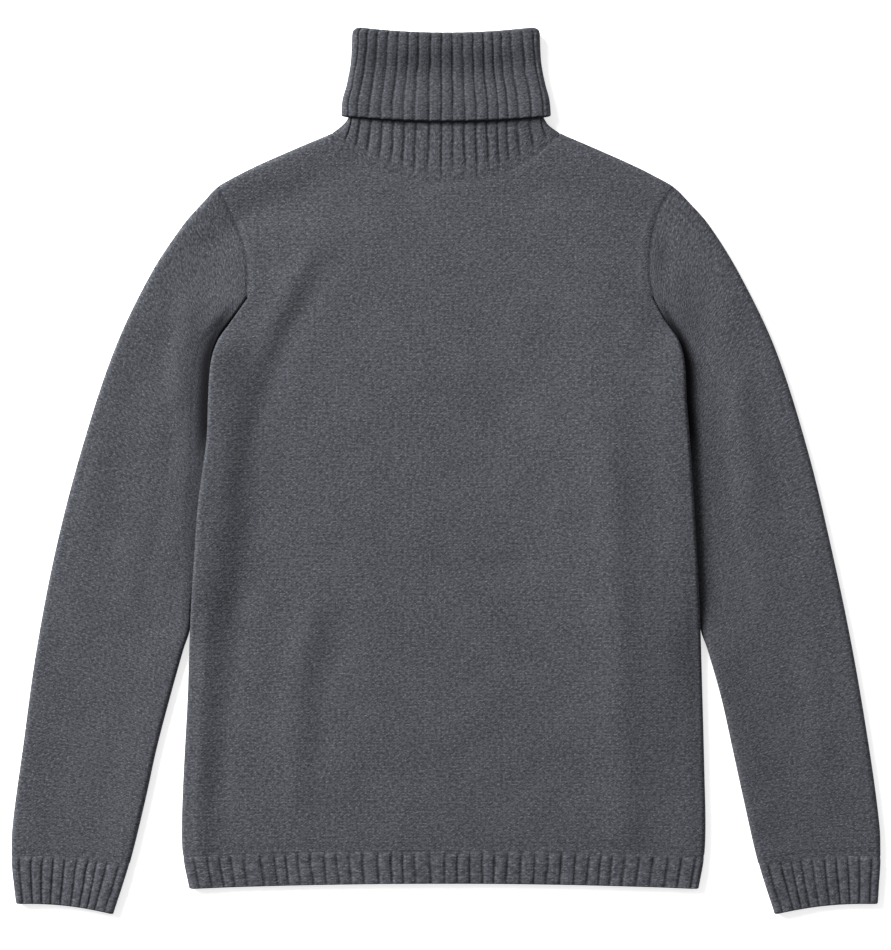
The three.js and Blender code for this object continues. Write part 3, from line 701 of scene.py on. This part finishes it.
# %% One side of a panel's wall
def body_face(front, step, inner):
    lowest = NECKLINE["front" if front else "back"]
    plan_at = patch(hem_seam, shoulders_and_neckline(lowest), body_side("right"), body_side("left"))
    u, edge, neck = body_columns(step)
    v, side, shoulder = (values[:, None] for values in body_rows(step))
    wall = WALL if inner else 0.0
    width = np.abs(body_side("left")(v) - body_side("right")(v))
    inwards = (FOLD_RADIUS * (1 - cosine(edge)) + wall * cosine(edge) * cosine(side)) / width
    columns = np.arange(len(u))
    share = np.where(columns < FOLDS, inwards, np.where(columns >= len(u) - FOLDS, 1 - inwards, u))
    downwards = FOLD_RADIUS * (1 - cosine(shoulder)) + wall * cosine(shoulder) * cosine(neck)
    plan = plan_at(share, v - np.where(v == 1, downwards, 0) / BODY_HEIGHT)
    degrees = np.minimum(np.maximum(edge, side), np.maximum(shoulder, neck))
    z = layer_height(body_form, plan, degrees, front, inner)
    if not inner:
        relief = armhole_relief(plan, True) + band_relief(v * BODY_HEIGHT - 2)
        relief = relief + band_relief(neckline(plan.real, lowest) - plan.imag, 0.5, 3.2)
        top = relief + waves(plan)
        under = np.maximum(hollows(plan) * (body_lift(plan) < 0.1) - relief, 0)
        z = z + sine(degrees) * (top if front else under)
    knit = stacked(plan.real, plan.imag, 0.0 if front else 40.0)
    # Painted shade along the armhole seam's groove.
    painted_shade = 0.0 if inner else seam_shade(plan)
    return Face(stacked(plan.real, plan.imag, np.maximum(z, 0)), u, v.ravel(), knit, painted_shade)


# %% Build the front and the back
FRONT_STEP = 2.1
BACK_STEP = 3.2
INNER_STEP = 9.0
pieces = {}
for name, front, step in (("front", True, FRONT_STEP), ("back", False, BACK_STEP)):
    faces = body_face(front, step, False), body_face(front, INNER_STEP, True)
    pieces[name] = shell(f"{name}_cloth", *faces, False)

# %% [markdown]
# ## Sleeves
# A sleeve is one piece, folded round and closed under the arm. Laid flat it is a flattened tube, so its
# rings run over the top, round the inner fold, back underneath and round the outer fold.

# %% One side of a sleeve's wall
SLEEVE_STEP = 1.9
SLEEVE_LENGTH = 590.0
SLEEVE_WIDTH = 108.0


def sleeve_face(side, step, inner):
    plan_at = sleeve_patch(side)
    v = np.append(0, between(0, 1, step / SLEEVE_LENGTH))[:, None]
    width = np.abs(plan_at(0.0, v) - plan_at(1.0, v))
    flat = between(0, 1, step / SLEEVE_WIDTH)[:-1]
    start = (FOLD_OUT + (WALL if inner else 0.0) * cosine(FOLD_DEGREES)) / width
    middle = FOLD_RADIUS / width + flat * (1 - 2 * FOLD_RADIUS / width)
    over = np.concatenate([start, middle, 1 - start[:, ::-1]], axis=1)
    angle = np.concatenate([FOLD_DEGREES, np.full(len(flat), 90.0), FOLD_DEGREES[::-1]])
    u = np.concatenate([over, over[:, -2:0:-1]], axis=1)
    degrees = np.concatenate([angle, angle[-2:0:-1]])
    upper = np.arange(u.shape[1]) < over.shape[1]
    plan = plan_at(u, v)
    z = layer_height(sleeve_form, plan, degrees, upper, inner)
    if not inner:
        seams = armhole_relief(plan, False) + band_relief((1 - v) * SLEEVE_LENGTH - 2)
        z = z + sine(degrees) * np.where(upper, seams + waves(plan), np.maximum(hollows(plan) - seams, 0))
    knit = stacked(np.where(upper, u, -u) * width, v * SLEEVE_LENGTH, 80.0 * SIDES[side])
    places = np.linspace(0, 2, u.shape[1] + 1)[:-1]
    # Painted shade in the armhole seam, and on the sleeve beside the body's edge.
    painted_shade = 0.0 if inner else np.maximum(seam_shade(plan), crevice(plan))
    return Face(stacked(plan.real, plan.imag, np.maximum(z, 0)), places, v.ravel(), knit, painted_shade)


# %% Build the sleeves
for side in SIDES:
    faces = sleeve_face(side, SLEEVE_STEP, False), sleeve_face(side, INNER_STEP, True)
    pieces[f"sleeve_{side}"] = shell(f"sleeve_{side}_cloth", *faces, True)

# %% [markdown]
# ## Ribs
# The bands are knitted in rib: rounded columns that stand up, with a narrow valley between each pair. The
# profile is a smooth dome with a sharp dip, and the valley wanders and varies in depth a little from rib to
# rib and along it. This relief is real geometry, because it shows along the edges and in raking light. How
# deep a point lies is kept as a value for painted shade, which darkens the wool's colour down there, where
# less light reaches.

# %% The profile of a rib
RIB = {
    "depth": 0.95,
    "dome": 0.32,
    "valley": 0.115,
    "wander": 0.055,
    "uneven": 0.2,
    "bead": 3.4,
    "shade": 0.32,
}
RIB_PLACES = np.array([0, 0.05, 0.1, 0.16, 0.25, 0.37, 0.5, 0.63, 0.75, 0.84, 0.9, 0.95])


def rib_relief(place, ribs, along, strength, seed):
    """Height of the rib's surface against the wall, and the painted shade a point gets from how deep in a
    valley it is.
    """
    number = place * ribs
    number = number + RIB["uneven"] * unevenness(number * 0.45 + 0j, 1.0, seed + 2)
    number = number + RIB["wander"] * unevenness(number * 0.9 + 1j * along / 12, 1.0, seed)
    rib = np.round(number)
    from_valley = np.abs(number - rib)
    vary = 1 + 0.3 * unevenness(rib * 1.7 + 1j * along / 18, 1.0, seed + 1)
    bead = np.sin(2 * np.pi * along / RIB["bead"] + 1.3 * np.floor(number * 2))
    valley = np.exp(-((from_valley / (RIB["valley"] + 0.012 * bead)) ** 2)) * vary
    dome = (RIB["dome"] + 0.07 * bead) * np.sin(np.pi * from_valley) ** 2
    return strength * (dome - RIB["depth"] * valley), RIB["shade"] * strength * np.minimum(valley, 1)


def rib_places(ribs, low, high):
    """Places along a ribbed face, closest together in the valleys."""
    number = np.arange(round(low * ribs), round(high * ribs))
    return np.append((number[:, None] + RIB_PLACES).ravel(), high * ribs) / ribs


# %% The section of a flattened tube
def flat_tube(place, width, radius, corner):
    """Where a place round it is: distance from its first edge, height, and its outward direction."""
    across = np.where(place <= 1, place, 2 - place)
    from_edge = np.minimum(across, 1 - across)
    turn = np.radians(90 * np.minimum(from_edge / corner, 1))
    flat = np.maximum(from_edge - corner, 0) / (1 - 2 * corner) * (width - 2 * radius)
    away = radius * (1 - np.cos(turn)) + flat
    up = np.sin(turn) * np.where(place <= 1, 1, -1)
    start = across <= 0.5
    return np.where(start, away, width - away), radius * up, np.cos(turn) * np.where(start, -1, 1), up


# %% [markdown]
# ## Hem band and cuffs
# They are short flattened tubes of rib below the seams. The hem band is joined at its sides, so it is two
# pieces, and each cuff is one. Their lower ends are soft: the last rows turn in round half the wall.

# %% One side of a ribbed band's wall
BANDS = {
    "hem": {"ribs": 40, "corner": 0.015, "length": 29.4, "seed": 31},
    "cuff": {"ribs": 11, "corner": 0.065, "length": 43.0, "seed": 41},
}
BAND_STEP = 1.7
RIB_FADE = 6.0
ROUND_END = np.linspace(0, 90, 5)


def band_face(kind, places, ends, form, inner, front):
    """ends gives the points on the two folds at each share of the length, and the bow of the line between."""
    band = BANDS[kind]
    length = band["length"]
    rounded = 1 - WALL / 2 * (1 - sine(ROUND_END)) / length
    share = np.concatenate([[0], between(0, rounded[0], BAND_STEP / length)[:-1], rounded])
    trim = np.concatenate([np.zeros(len(share) - len(ROUND_END)), WALL / 2 * (1 - cosine(ROUND_END))])
    if inner:
        share, trim = np.append(np.linspace(0, rounded[0], 5), 1), np.zeros(6)
        trim[-1] = -WALL / 2
    share, trim = share[:, None], trim[:, None]
    start, end, bow = ends(share)
    width = np.abs(end - start)
    away, height, out, up = flat_tube(places, width, FOLD_RADIUS, band["corner"])
    strength = smoothstep(share * length, 0, RIB_FADE) * (1 - 0.4 * smoothstep(share, 0.95, 1))
    # The rib valleys get painted shade.
    relief, painted_shade = rib_relief(places, band["ribs"], share * length, strength, band["seed"])
    relief = np.where(up < 0, np.minimum(relief, 0), relief) + band_relief(share * length)
    if inner:
        relief, painted_shade = np.full(relief.shape, -WALL), np.zeros(relief.shape)
    outwards = relief - trim
    across = (away + out * outwards) / width
    plan = start + (end - start) * across + 1j * bow(np.clip(across, 0, 1))
    half = np.maximum(np.abs(height + up * outwards), SEAM_GAP / 2)
    drop = form(plan)[2] + (0 if inner else np.abs(up) * waves(plan))
    z = np.maximum(FOLD_RADIUS + np.where(front, half + drop, -half), 0)
    knit = stacked(places * band["ribs"] * 9, share * length, 10.0 * band["seed"])
    points = stacked(plan.real, plan.imag, z)
    return Face(points, places, share.ravel(), knit, painted_shade, 0 if inner else strength)


# %% The hem's two halves
def hem_ends(share):
    y = lerp(HEM_Y - SEAM_GAP, HEM_END_Y, share)
    return edge_point(BODY_SIDE, "right", y), edge_point(BODY_SIDE, "left", y), hem_bow


for name, low in (("front", 0.0), ("back", 1.0)):
    fine, coarse = rib_places(BANDS["hem"]["ribs"], low, low + 1), np.linspace(low, low + 1, 41)
    faces = [
        band_face("hem", places, hem_ends, body_form, inner, low == 0)
        for places, inner in ((fine, False), (coarse, True))
    ]
    pieces[f"hem_{name}"] = shell(f"hem_{name}_cloth", *faces, False, soft_end=True)


# %% The cuffs
def cuff_ends(side):
    def ends(share):
        outer = edge_point(OUTER_FOLD, side, lerp(CUFF_OUTER["seam"] - SEAM_GAP, CUFF_OUTER["end"], share))
        inner = edge_point(INNER_FOLD, side, lerp(CUFF_INNER["seam"] - SEAM_GAP, CUFF_INNER["end"], share))
        return outer, inner, lambda u: 4 * CUFF_BOW * u * (1 - u)

    return ends


for side in SIDES:
    fine, coarse = rib_places(BANDS["cuff"]["ribs"], 0, 2)[:-1], np.linspace(0, 2, 45)[:-1]
    faces = [
        band_face("cuff", places, cuff_ends(side), sleeve_form, inner, places <= 1)
        for places, inner in ((fine, False), (coarse, True))
    ]
    pieces[f"cuff_{side}"] = shell(f"cuff_{side}_cloth", *faces, True, soft_end=True)

# %% [markdown]
# ## The collar
# One long ribbed tube rises from the neckline and folds outwards over itself, so that its knitted end
# hangs back down over the stand. Each side of its wall is a stack of rings, from the neckline up the
# stand, over the top fold and down the turned part. The stand's ribs spread towards the shoulders and fade
# into plain knit just above the neckline, where the ribbing ends.

# %% Sizes of the collar, by height
COLLAR = np.array(
    [
        (368, 81.8, 78.2, 1.0),
        (350, 82.9, 79.4, 0.4),
        (332, 86.3, 81.8, 0.6),
        (318, 90.0, 84.0, 1.3),
        (303.8, 91.2, 84.8, 1.6),
    ],
    dtype=[("y", float), ("turned", float), ("stand", float), ("slack", float)],
)
NECK = {"ribs": 19, "corner": 0.06, "gap": 0.6, "top": 380.9, "edge": 303.8, "seed": 51}
COLLAR_BOW = 4.5
STAND_FLARE = 1.6
TOP_SLACK = float(COLLAR["slack"][0])
TOP_RADIUS = WALL + TOP_SLACK / 2


def collar_middle(y):
    return NECK["gap"] + 2 * WALL + at(COLLAR, "slack", y)


def rounded_corner(y):
    """How far the collar's sides draw in where they turn into its top fold."""
    t = np.clip((y - NECK["top"] + 7) / 7, 0, 1)
    return 4.0 * (1 - np.sqrt(1 - 0.96 * t * t))


# The trough's depth, and the painted shade it brings to the collar's front.
TROUGH = {"y": 349, "width": 15, "half": 78, "depth": 1.8, "shade": 0.2, "shade above": 8}
COLLAR_SHADE = 0.2


def trough(x, y):
    """1 along the bottom of the shallow trough that runs across the turned part below its fold."""
    below = (y - TROUGH["y"] - 3 * unevenness(x + 0j, 40, 61)) / TROUGH["width"]
    return np.exp(-((x / TROUGH["half"]) ** 4) - below**2)


def collar_waves(x, y):
    """Soft unevenness of the turned part's front, with its trough."""
    soft = 0.5 * unevenness(x + 1j * y, 26, 62) + 0.25 * unevenness(x + 1j * y, 11, 63)
    return soft - TROUGH["depth"] * trough(x, y)


# %% A stack of rings round the flattened neck
def collar_rings(place, y, half, radius, middle, along, strength=0.0, soft=0.0):
    half = half - rounded_corner(y)
    away, height, out, up = flat_tube(place, 2 * half, radius, NECK["corner"])
    relief, painted_shade = rib_relief(place, NECK["ribs"], along, strength, NECK["seed"])
    relief = np.where(up < 0, np.minimum(relief, 0), relief)
    x = away - half + out * relief
    z = middle + height + up * relief
    z = z + soft * np.maximum(up, 0) * collar_waves(x, y)
    bow = COLLAR_BOW * np.minimum(np.abs(x) / half, 1) ** 2
    # Painted shade: the turned part's front is darkened a little all over, and more just above its trough.
    dark = COLLAR_SHADE + TROUGH["shade"] * trough(x, y - TROUGH["shade above"])
    shade = soft * np.maximum(up, 0) * dark
    return stacked(x, y + bow, np.maximum(z, 0)), np.maximum(painted_shade, shade), strength + 0 * x


# %% Rings of the stand, from the turned part's edge at share 0 to the neckline at 1
STAND_LENGTH = 53.0
STAND_SHADE = {"most": 0.8, "width": 3}


def stand_rings(place, share, inner):
    wall = WALL if inner else 0.0
    y = NECK["edge"]
    half = at(COLLAR, "stand", y) - wall
    middle = collar_middle(y)
    high = collar_rings(place, y, half, NECK["gap"] + WALL - wall, middle, 0 * share)[0]
    across = np.where(place <= 1, place, 2 - place)
    from_edge = np.minimum(across, 1 - across) * NECKLINE_LENGTH
    degrees = np.degrees(np.arccos(np.clip(1 - from_edge / FOLD_RADIUS, 0, 1)))
    x = (2 * across - 1) * lerp(NECKLINE["half"] - wall, NECKLINE["half"], sine(degrees))
    seam_y = neckline(x, np.where(place <= 1, NECKLINE["front"], NECKLINE["back"])) + SEAM_GAP
    plan = x + 1j * seam_y
    low_z = layer_height(body_form, plan, degrees, place <= 1, inner)
    strength = 0 * share if inner else 1 - smoothstep(share, 0.6, 1)
    relief, painted_shade = rib_relief(place, NECK["ribs"], -STAND_LENGTH * share, strength, NECK["seed"])
    if not inner:
        # Painted shadow of the turned part's edge along the top of the stand.
        painted_edge_shadow = STAND_SHADE["most"] * np.exp(-((share * STAND_LENGTH / STAND_SHADE["width"]) ** 2))
        painted_shade = np.maximum(painted_shade, painted_edge_shadow)
        seam = band_relief((1 - share) * STAND_LENGTH, 0.5, 3.2)
        relief = relief + smooth(share) * waves(plan) * (place <= 1) + seam
    facing = np.where(place <= 1, 1, -1) * sine(degrees)
    raised = np.where(facing < 0, np.minimum(relief, 0), relief)
    z = lerp(high[..., 2], low_z, smooth(share)) + facing * raised
    across_x = lerp(high[..., 0], x, share**STAND_FLARE) + np.sign(x) * cosine(degrees) * relief
    points = stacked(across_x, lerp(high[..., 1], seam_y, share), np.maximum(z, 0))
    return points, painted_shade + 0 * z, strength + 0 * z


# %% Both sides of the collar's wall
def column(low, high, count):
    return np.linspace(low, high, count)[:, None]


def stand_stack(place, y, inner):
    """Rings of the stand where the turned part hides it, or inside the neck."""
    half = at(COLLAR, "stand", y) - (WALL if inner else 0)
    return collar_rings(place, y, half, NECK["gap"] + (0 if inner else WALL), collar_middle(y), 0 * y)


def top_fold(place, degrees, hollow, strength=0.0):
    radius = TOP_RADIUS - (WALL if hollow else 0)
    inwards = TOP_RADIUS - radius * cosine(degrees)
    y = NECK["top"] - TOP_RADIUS + radius * sine(degrees)
    middle = collar_middle(NECK["top"])
    half = at(COLLAR, "turned", y) - inwards
    along = -TOP_RADIUS * np.radians(degrees)
    soft = 0.0 if hollow else np.clip(cosine(degrees), 0, 1)
    return collar_rings(place, y, half, middle - inwards, middle, along, strength, soft)


def turned_stack(place, y, inset, strength=0.0, soft=0.0):
    middle = collar_middle(y)
    along = NECK["top"] - TOP_RADIUS - y
    half = at(COLLAR, "turned", y) - inset
    return collar_rings(place, y, half, middle - inset, middle, along, strength, soft)


FOLD_Y = NECK["top"] - TOP_RADIUS
EDGE_Y = NECK["edge"] + WALL / 2
place = rib_places(NECK["ribs"], 0, 2)[:-1]
half_wall = WALL / 2
end = ROUND_END[:, None]
soft_inside = 1.0
knit_side = [
    stand_rings(place, column(1, 0.02, 28), False),
    stand_stack(place, column(NECK["edge"] + 1, FOLD_Y - 1, 8), False),
    top_fold(place, column(180, 0, 5), True),
    turned_stack(place, column(FOLD_Y - 1, EDGE_Y + 2, 9), WALL, 0.0, soft_inside),
    turned_stack(place, EDGE_Y - half_wall * sine(end), half_wall * (1 + cosine(end)), 0.0, soft_inside),
]
purl_side = [
    stand_rings(place, column(1, 0.02, 10), True),
    stand_stack(place, column(NECK["edge"] + 1, FOLD_Y - 1, 12), True),
    top_fold(place, column(180, 0, 15), False, smoothstep(column(180, 0, 15), 175, 115)),
    turned_stack(place, column(FOLD_Y - 2, EDGE_Y + 2, 37), 0.0, 1.0, 1.0),
    turned_stack(
        place,
        EDGE_Y - half_wall * sine(end[:-1]),
        half_wall * (1 - cosine(end[:-1])),
        0.5 + 0.5 * cosine(end[:-1]),
        1.0,
    ),
]


def collar_face(parts):
    points, painted_shade, rib = (np.concatenate(grids) for grids in zip(*parts))
    step = np.linalg.norm(np.diff(points, axis=0), axis=-1).mean(axis=1)
    along = np.append(0, np.cumsum(step))
    knit = stacked(place * NECK["ribs"] * 9, along[:, None], 500.0)
    return Face(points, place, along, knit, painted_shade, rib)


pieces["collar"] = shell("collar_cloth", collar_face(knit_side), collar_face(purl_side), True, soft_end=True)

# %% [markdown]
# ## The wool
# The yarn is a heather: light and dark fibres spun together and then felted, so that the surface shows a
# soft mottling of grey with pale flecks, and the stitches underneath only just read as faint courses.
# These effects are node groups, since the plain knit and the ribs share them in different strengths.

# %% Small helpers for node groups
SOCKETS = {"color": "NodeSocketColor", "value": "NodeSocketFloat", "vector": "NodeSocketVector"}


def new_group(name, inputs, outputs):
    """A node group with named sockets. Each input is (name, kind, value) and each output is (name, kind)."""
    tree = bpy.data.node_groups.new(name, "ShaderNodeTree")
    for socket, kind, value in inputs:
        made = tree.interface.new_socket(name=socket, in_out="INPUT", socket_type=SOCKETS[kind])
        if value is not None:
            made.default_value = value
    for socket, kind in outputs:
        tree.interface.new_socket(name=socket, in_out="OUTPUT", socket_type=SOCKETS[kind])
    return tree, tree.nodes.new("NodeGroupInput").outputs, tree.nodes.new("NodeGroupOutput").inputs


def add_node(tree, kind, settings=None, **inputs):
    """A node with its settings and its inputs: plain values, or outputs to link from."""
    node = tree.nodes.new(kind)
    for key, value in (settings or {}).items():
        setattr(node, key, value)
    for key, value in inputs.items():
        socket = node.inputs[int(key[1:])] if key[1:].isdigit() else node.inputs[key.replace("_", " ")]
        if isinstance(value, bpy.types.NodeSocket):
            tree.links.new(value, socket)
        else:
            socket.default_value = value
    return node


def sum_up(tree, operation, a, b=0.0, c=0.0):
    return add_node(tree, "ShaderNodeMath", {"operation": operation}, _0=a, _1=b, _2=c).outputs[0]


def noise(tree, place, scale, detail=2.0, roughness=0.5):
    values = {"Vector": place, "Scale": scale, "Detail": detail, "Roughness": roughness}
    return add_node(tree, "ShaderNodeTexNoise", None, **values).outputs[0]


def fade(tree, value, low, high, to_low=0.0, to_high=1.0):
    settings = {"interpolation_type": "SMOOTHSTEP"}
    node = add_node(tree, "ShaderNodeMapRange", settings, _0=value, _1=low, _2=high, _3=to_low, _4=to_high)
    return node.outputs[0]


def blend(tree, share, a, b):
    settings = {"data_type": "RGBA"}
    return add_node(tree, "ShaderNodeMix", settings, _0=share, _6=a, _7=b).outputs[2]


def stretch(tree, place, x, y, z=1.0):
    settings = {"operation": "MULTIPLY"}
    return add_node(tree, "ShaderNodeVectorMath", settings, _0=place, _1=(x, y, z)).outputs[0]


# %% Heather: mottled colour
heather, given, out = new_group(
    "heather",
    [
        ("Place", "vector", None),
        ("Dark", "color", (0.05, 0.05, 0.06, 1)),
        ("Light", "color", (0.15, 0.15, 0.17, 1)),
        ("Flecks", "value", 0.4),
    ],
    [("Color", "color"), ("Lump", "value")],
)
clouds = noise(heather, stretch(heather, given["Place"], 0.85, 1.0), 0.45, 1.5, 0.5)
streaks = noise(heather, stretch(heather, given["Place"], 0.4, 1.0), 0.5, 1.0, 0.5)
patches = noise(heather, given["Place"], 0.03, 1.0, 0.5)
both = sum_up(heather, "MULTIPLY_ADD", clouds, 0.65, sum_up(heather, "MULTIPLY", streaks, 0.25))
mottle = sum_up(heather, "MULTIPLY_ADD", patches, 0.1, both)
shade = fade(heather, mottle, 0.36, 0.64)
tangle = noise(heather, stretch(heather, given["Place"], 0.55, 1.0), 0.85, 1.0, 0.5)
flecks = sum_up(heather, "MULTIPLY", fade(heather, tangle, 0.56, 0.7), given["Flecks"])
mixed = blend(heather, shade, given["Dark"], given["Light"])
pale = blend(heather, flecks, mixed, (0.20, 0.21, 0.24, 1))
heather.links.new(pale, out["Color"])
heather.links.new(mottle, out["Lump"])
print("heather has", len(heather.nodes), "nodes")

# %% [markdown]
# Felting closes the fabric, but each stitch still leaves a low mound. A stitch is a V between two wales,
# so a course bends up and down once a wale, and the mounds come from a wave along that bent line. Felting
# fades them in some places more than in others. The low gaps between the mounds are also given out as a
# mask for painted shade.

# %% Stitches under the felt
stitches, given, out = new_group(
    "stitches",
    [
        ("Place", "vector", None),
        ("Wale", "value", 3.3),
        ("Course", "value", 2.6),
        ("Felt", "value", 0.6),
        ("Columns", "value", 0.3),
    ],
    [("Height", "value"), ("Gap_shade", "value")],
)
parts = add_node(stitches, "ShaderNodeSeparateXYZ", None, _0=given["Place"]).outputs
wale = sum_up(stitches, "DIVIDE", parts[0], given["Wale"])
bend = sum_up(stitches, "PINGPONG", wale, 0.5)
row = sum_up(stitches, "ADD", sum_up(stitches, "DIVIDE", parts[1], given["Course"]), bend)
mound = sum_up(stitches, "SINE", sum_up(stitches, "MULTIPLY", row, 2 * math.pi))
column_edge = fade(stitches, bend, 0.0, 0.16)
cover = fade(stitches, noise(stitches, given["Place"], 0.16, 2.0), 0.35, 0.65, 1.0, 0.45)
clear = sum_up(stitches, "SUBTRACT", 1.0, sum_up(stitches, "MULTIPLY", given["Felt"], cover))
grooved = sum_up(stitches, "MULTIPLY", column_edge, given["Columns"])
raised = sum_up(stitches, "MULTIPLY", sum_up(stitches, "MULTIPLY_ADD", mound, 0.3, grooved), clear)
stitches.links.new(raised, out["Height"])
stitches.links.new(sum_up(stitches, "MULTIPLY", fade(stitches, mound, -0.2, -1.0), clear), out["Gap_shade"])

# %% [markdown]
# On top lies the nap, a fine tangle of loose fibres. It is far too small to model over a whole sweater, so
# it is height for a bump: short strands at two angles, finer than the mottling.

# %% Nap
nap, given, out = new_group("nap", [("Place", "vector", None), ("Size", "value", 0.5)], [("Height", "value")])
finer = sum_up(nap, "DIVIDE", 1.0, given["Size"])
strands = noise(nap, stretch(nap, given["Place"], 0.35, 1.2), finer, 3.0, 0.6)
others = noise(nap, stretch(nap, given["Place"], 1.2, 0.45), finer, 3.0, 0.6)
nap.links.new(sum_up(nap, "MAXIMUM", strands, others), out["Height"])


# %% [markdown]
# ## Finishes
# Two finishes share those groups. They are one yarn. The ribs' wool is a touch lighter, to make up for the
# painted shade that darkens their valleys. Both are rough, with a little of the soft sheen that loose wool
# fibres have at a glancing angle.

# %% A finish from the groups
def group_node(tree, group, **inputs):
    node = add_node(tree, "ShaderNodeGroup", {"node_tree": group})
    for key, value in inputs.items():
        if isinstance(value, bpy.types.NodeSocket):
            tree.links.new(value, node.inputs[key])
        else:
            node.inputs[key].default_value = value
    return node.outputs


# Near-black that painted shade mixes into the wool's colour.
PAINTED_SHADE_COLOUR = (0.004, 0.004, 0.005, 1)
PLAIN_WOOL = {"Dark": (0.034, 0.0355, 0.041, 1), "Light": (0.067, 0.070, 0.080, 1), "Flecks": 0.36}
RIB_WOOL = {"Dark": (0.038, 0.0395, 0.046, 1), "Light": (0.072, 0.075, 0.086, 1), "Flecks": 0.32}
# How strongly painted shade darkens the stitch gaps and the shaded points.
SHADE = {"gaps": 0.25, "painted_shade": 0.95}
RELIEF = {"lumps": 1.1, "fuzz": 0.45, "knit": 0.5, "distance": 0.0006}


def wool(name, felt, columns):
    material = bpy.data.materials.new(name)
    material.use_nodes = True
    tree = material.node_tree
    shader = tree.nodes["Principled BSDF"]
    place = add_node(tree, "ShaderNodeAttribute", {"attribute_name": "knit"}).outputs["Vector"]
    # Painted shade that each point carries: rib valleys, the armhole seam, the sleeves' crevices and the
    # collar.
    painted_shade = add_node(tree, "ShaderNodeAttribute", {"attribute_name": "painted_shade"}).outputs["Fac"]
    rib = add_node(tree, "ShaderNodeAttribute", {"attribute_name": "rib"}).outputs["Fac"]
    plain = group_node(tree, heather, Place=place, **PLAIN_WOOL)
    ribbed = group_node(tree, heather, Place=place, **RIB_WOOL)
    knit = group_node(tree, stitches, Place=place, Felt=felt, Columns=columns)
    fuzz = group_node(tree, nap, Place=place, Size=0.7)
    colour = blend(tree, rib, plain["Color"], ribbed["Color"])
    # Painted shade: the colour darkens towards near-black in the gaps between stitch mounds, and by the shade
    # attribute.
    shaded = blend(tree, sum_up(tree, "MULTIPLY", knit["Gap_shade"], SHADE["gaps"]), colour, PAINTED_SHADE_COLOUR)
    deep = blend(tree, sum_up(tree, "MULTIPLY", painted_shade, SHADE["painted_shade"]), shaded, PAINTED_SHADE_COLOUR)
    tree.links.new(deep, shader.inputs["Base Color"])
    soft = sum_up(tree, "MULTIPLY", fuzz["Height"], RELIEF["fuzz"])
    lumps = sum_up(tree, "MULTIPLY_ADD", plain["Lump"], RELIEF["lumps"], soft)
    height = sum_up(tree, "MULTIPLY_ADD", knit["Height"], RELIEF["knit"], lumps)
    bump = add_node(tree, "ShaderNodeBump", None, Strength=1.0, Distance=RELIEF["distance"], Height=height)
    tree.links.new(bump.outputs[0], shader.inputs["Normal"])
    shader.inputs["Roughness"].default_value = 0.95
    shader.inputs["Specular IOR Level"].default_value = 0.06
    shader.inputs["Sheen Weight"].default_value = 0.04
    shader.inputs["Sheen Roughness"].default_value = 0.5
    shader.inputs["Sheen Tint"].default_value = (0.8, 0.82, 0.88, 1)
    return material


# %% The two finishes
FINISHES = {"plain_knit": wool("plain_knit", 0.75, 0.1), "ribbed_knit": wool("ribbed_knit", 0.5, 0.4)}
PLAIN = ("front", "back", "sleeve_left", "sleeve_right")
for node, piece in pieces.items():
    finish = "plain_knit" if node in PLAIN else "ribbed_knit"
    piece.data.materials.append(FINISHES[finish])
    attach(piece, "root")
    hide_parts(node)

# %% [markdown]
# ## The floor
# Each piece is knitted to shape and laid flat or folded on itself, with no stretch, on a wide square floor.

# %% Floor
REACH = 14
floor_mesh = bpy.data.meshes.new("floor")
corners = [(-REACH, -REACH, 0), (REACH, -REACH, 0), (REACH, REACH, 0), (-REACH, REACH, 0)]
floor_mesh.from_pydata(corners, [], [(0, 1, 2, 3)])
floor = bpy.data.objects.new("floor", floor_mesh)
bpy.context.scene.collection.objects.link(floor)
floor.location.z = -0.0004
floor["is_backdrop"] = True

# %% [markdown]
# ## Floor, light and camera
# Flat garments are often photographed on a white light table, whose own glow takes away their shadows. So
# the floor is pale and matt and glows a little, and a soft window of light stands at the upper left, low
# enough for the creases to show. The camera looks straight down from three metres, and its picture at the
# cloth's height is as wide as the photo's.

# %% The light table
paper = bpy.data.materials.new("paper")
paper.use_nodes = True
tree = paper.node_tree
surface = tree.nodes["Principled BSDF"].inputs
grain = noise(tree, add_node(tree, "ShaderNodeTexCoord").outputs["Object"], 60.0)
pale_grey = blend(tree, grain, (0.93, 0.93, 0.93, 1), (0.96, 0.96, 0.96, 1))
tree.links.new(pale_grey, surface["Base Color"])
surface["Roughness"].default_value = 0.9
surface["Emission Color"].default_value = (1, 1, 1, 1)
surface["Emission Strength"].default_value = 0.6
floor_mesh.materials.append(paper)

# %% Light
world = bpy.data.worlds.new("studio")
world.use_nodes = True
world.node_tree.nodes["Background"].inputs["Color"].default_value = (1, 1, 1, 1)
world.node_tree.nodes["Background"].inputs["Strength"].default_value = 0.35
bpy.context.scene.world = world


def soft_light(name, place, size, power):
    """A square lamp that faces the middle of the garment."""
    lamp = bpy.data.lights.new(name, "AREA")
    lamp.size = size
    lamp.energy = power
    holder = bpy.data.objects.new(name, lamp)
    holder.location = place
    holder.rotation_euler = (-Vector(place)).to_track_quat("-Z", "Y").to_euler()
    bpy.context.scene.collection.objects.link(holder)
    holder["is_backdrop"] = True
    return holder


soft_light("window", (-3.0, 2.45, 2.1), 2.6, 580)

# %% Camera
DISTANCE = 3.0
SEEN = 0.8265
camera = bpy.data.cameras.new("camera")
camera.sensor_width = 36
camera.lens = camera.sensor_width * DISTANCE / SEEN
eye = bpy.data.objects.new("camera", camera)
eye.location = (-0.00044, -0.00348, DISTANCE + 0.0044)
bpy.context.scene.collection.objects.link(eye)
bpy.context.scene.camera = eye
bpy.context.scene.view_settings.view_transform = "Standard"

# %% [markdown]
# ## Sizes
# The dressed model should keep to the plain one's box, apart from a millimetre or so of crease and rib.

# %% Size of the dressed model, and finish
low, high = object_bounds()
print("dressed model, mm:", [round((b - a) * 1000, 1) for a, b in zip(low, high)])
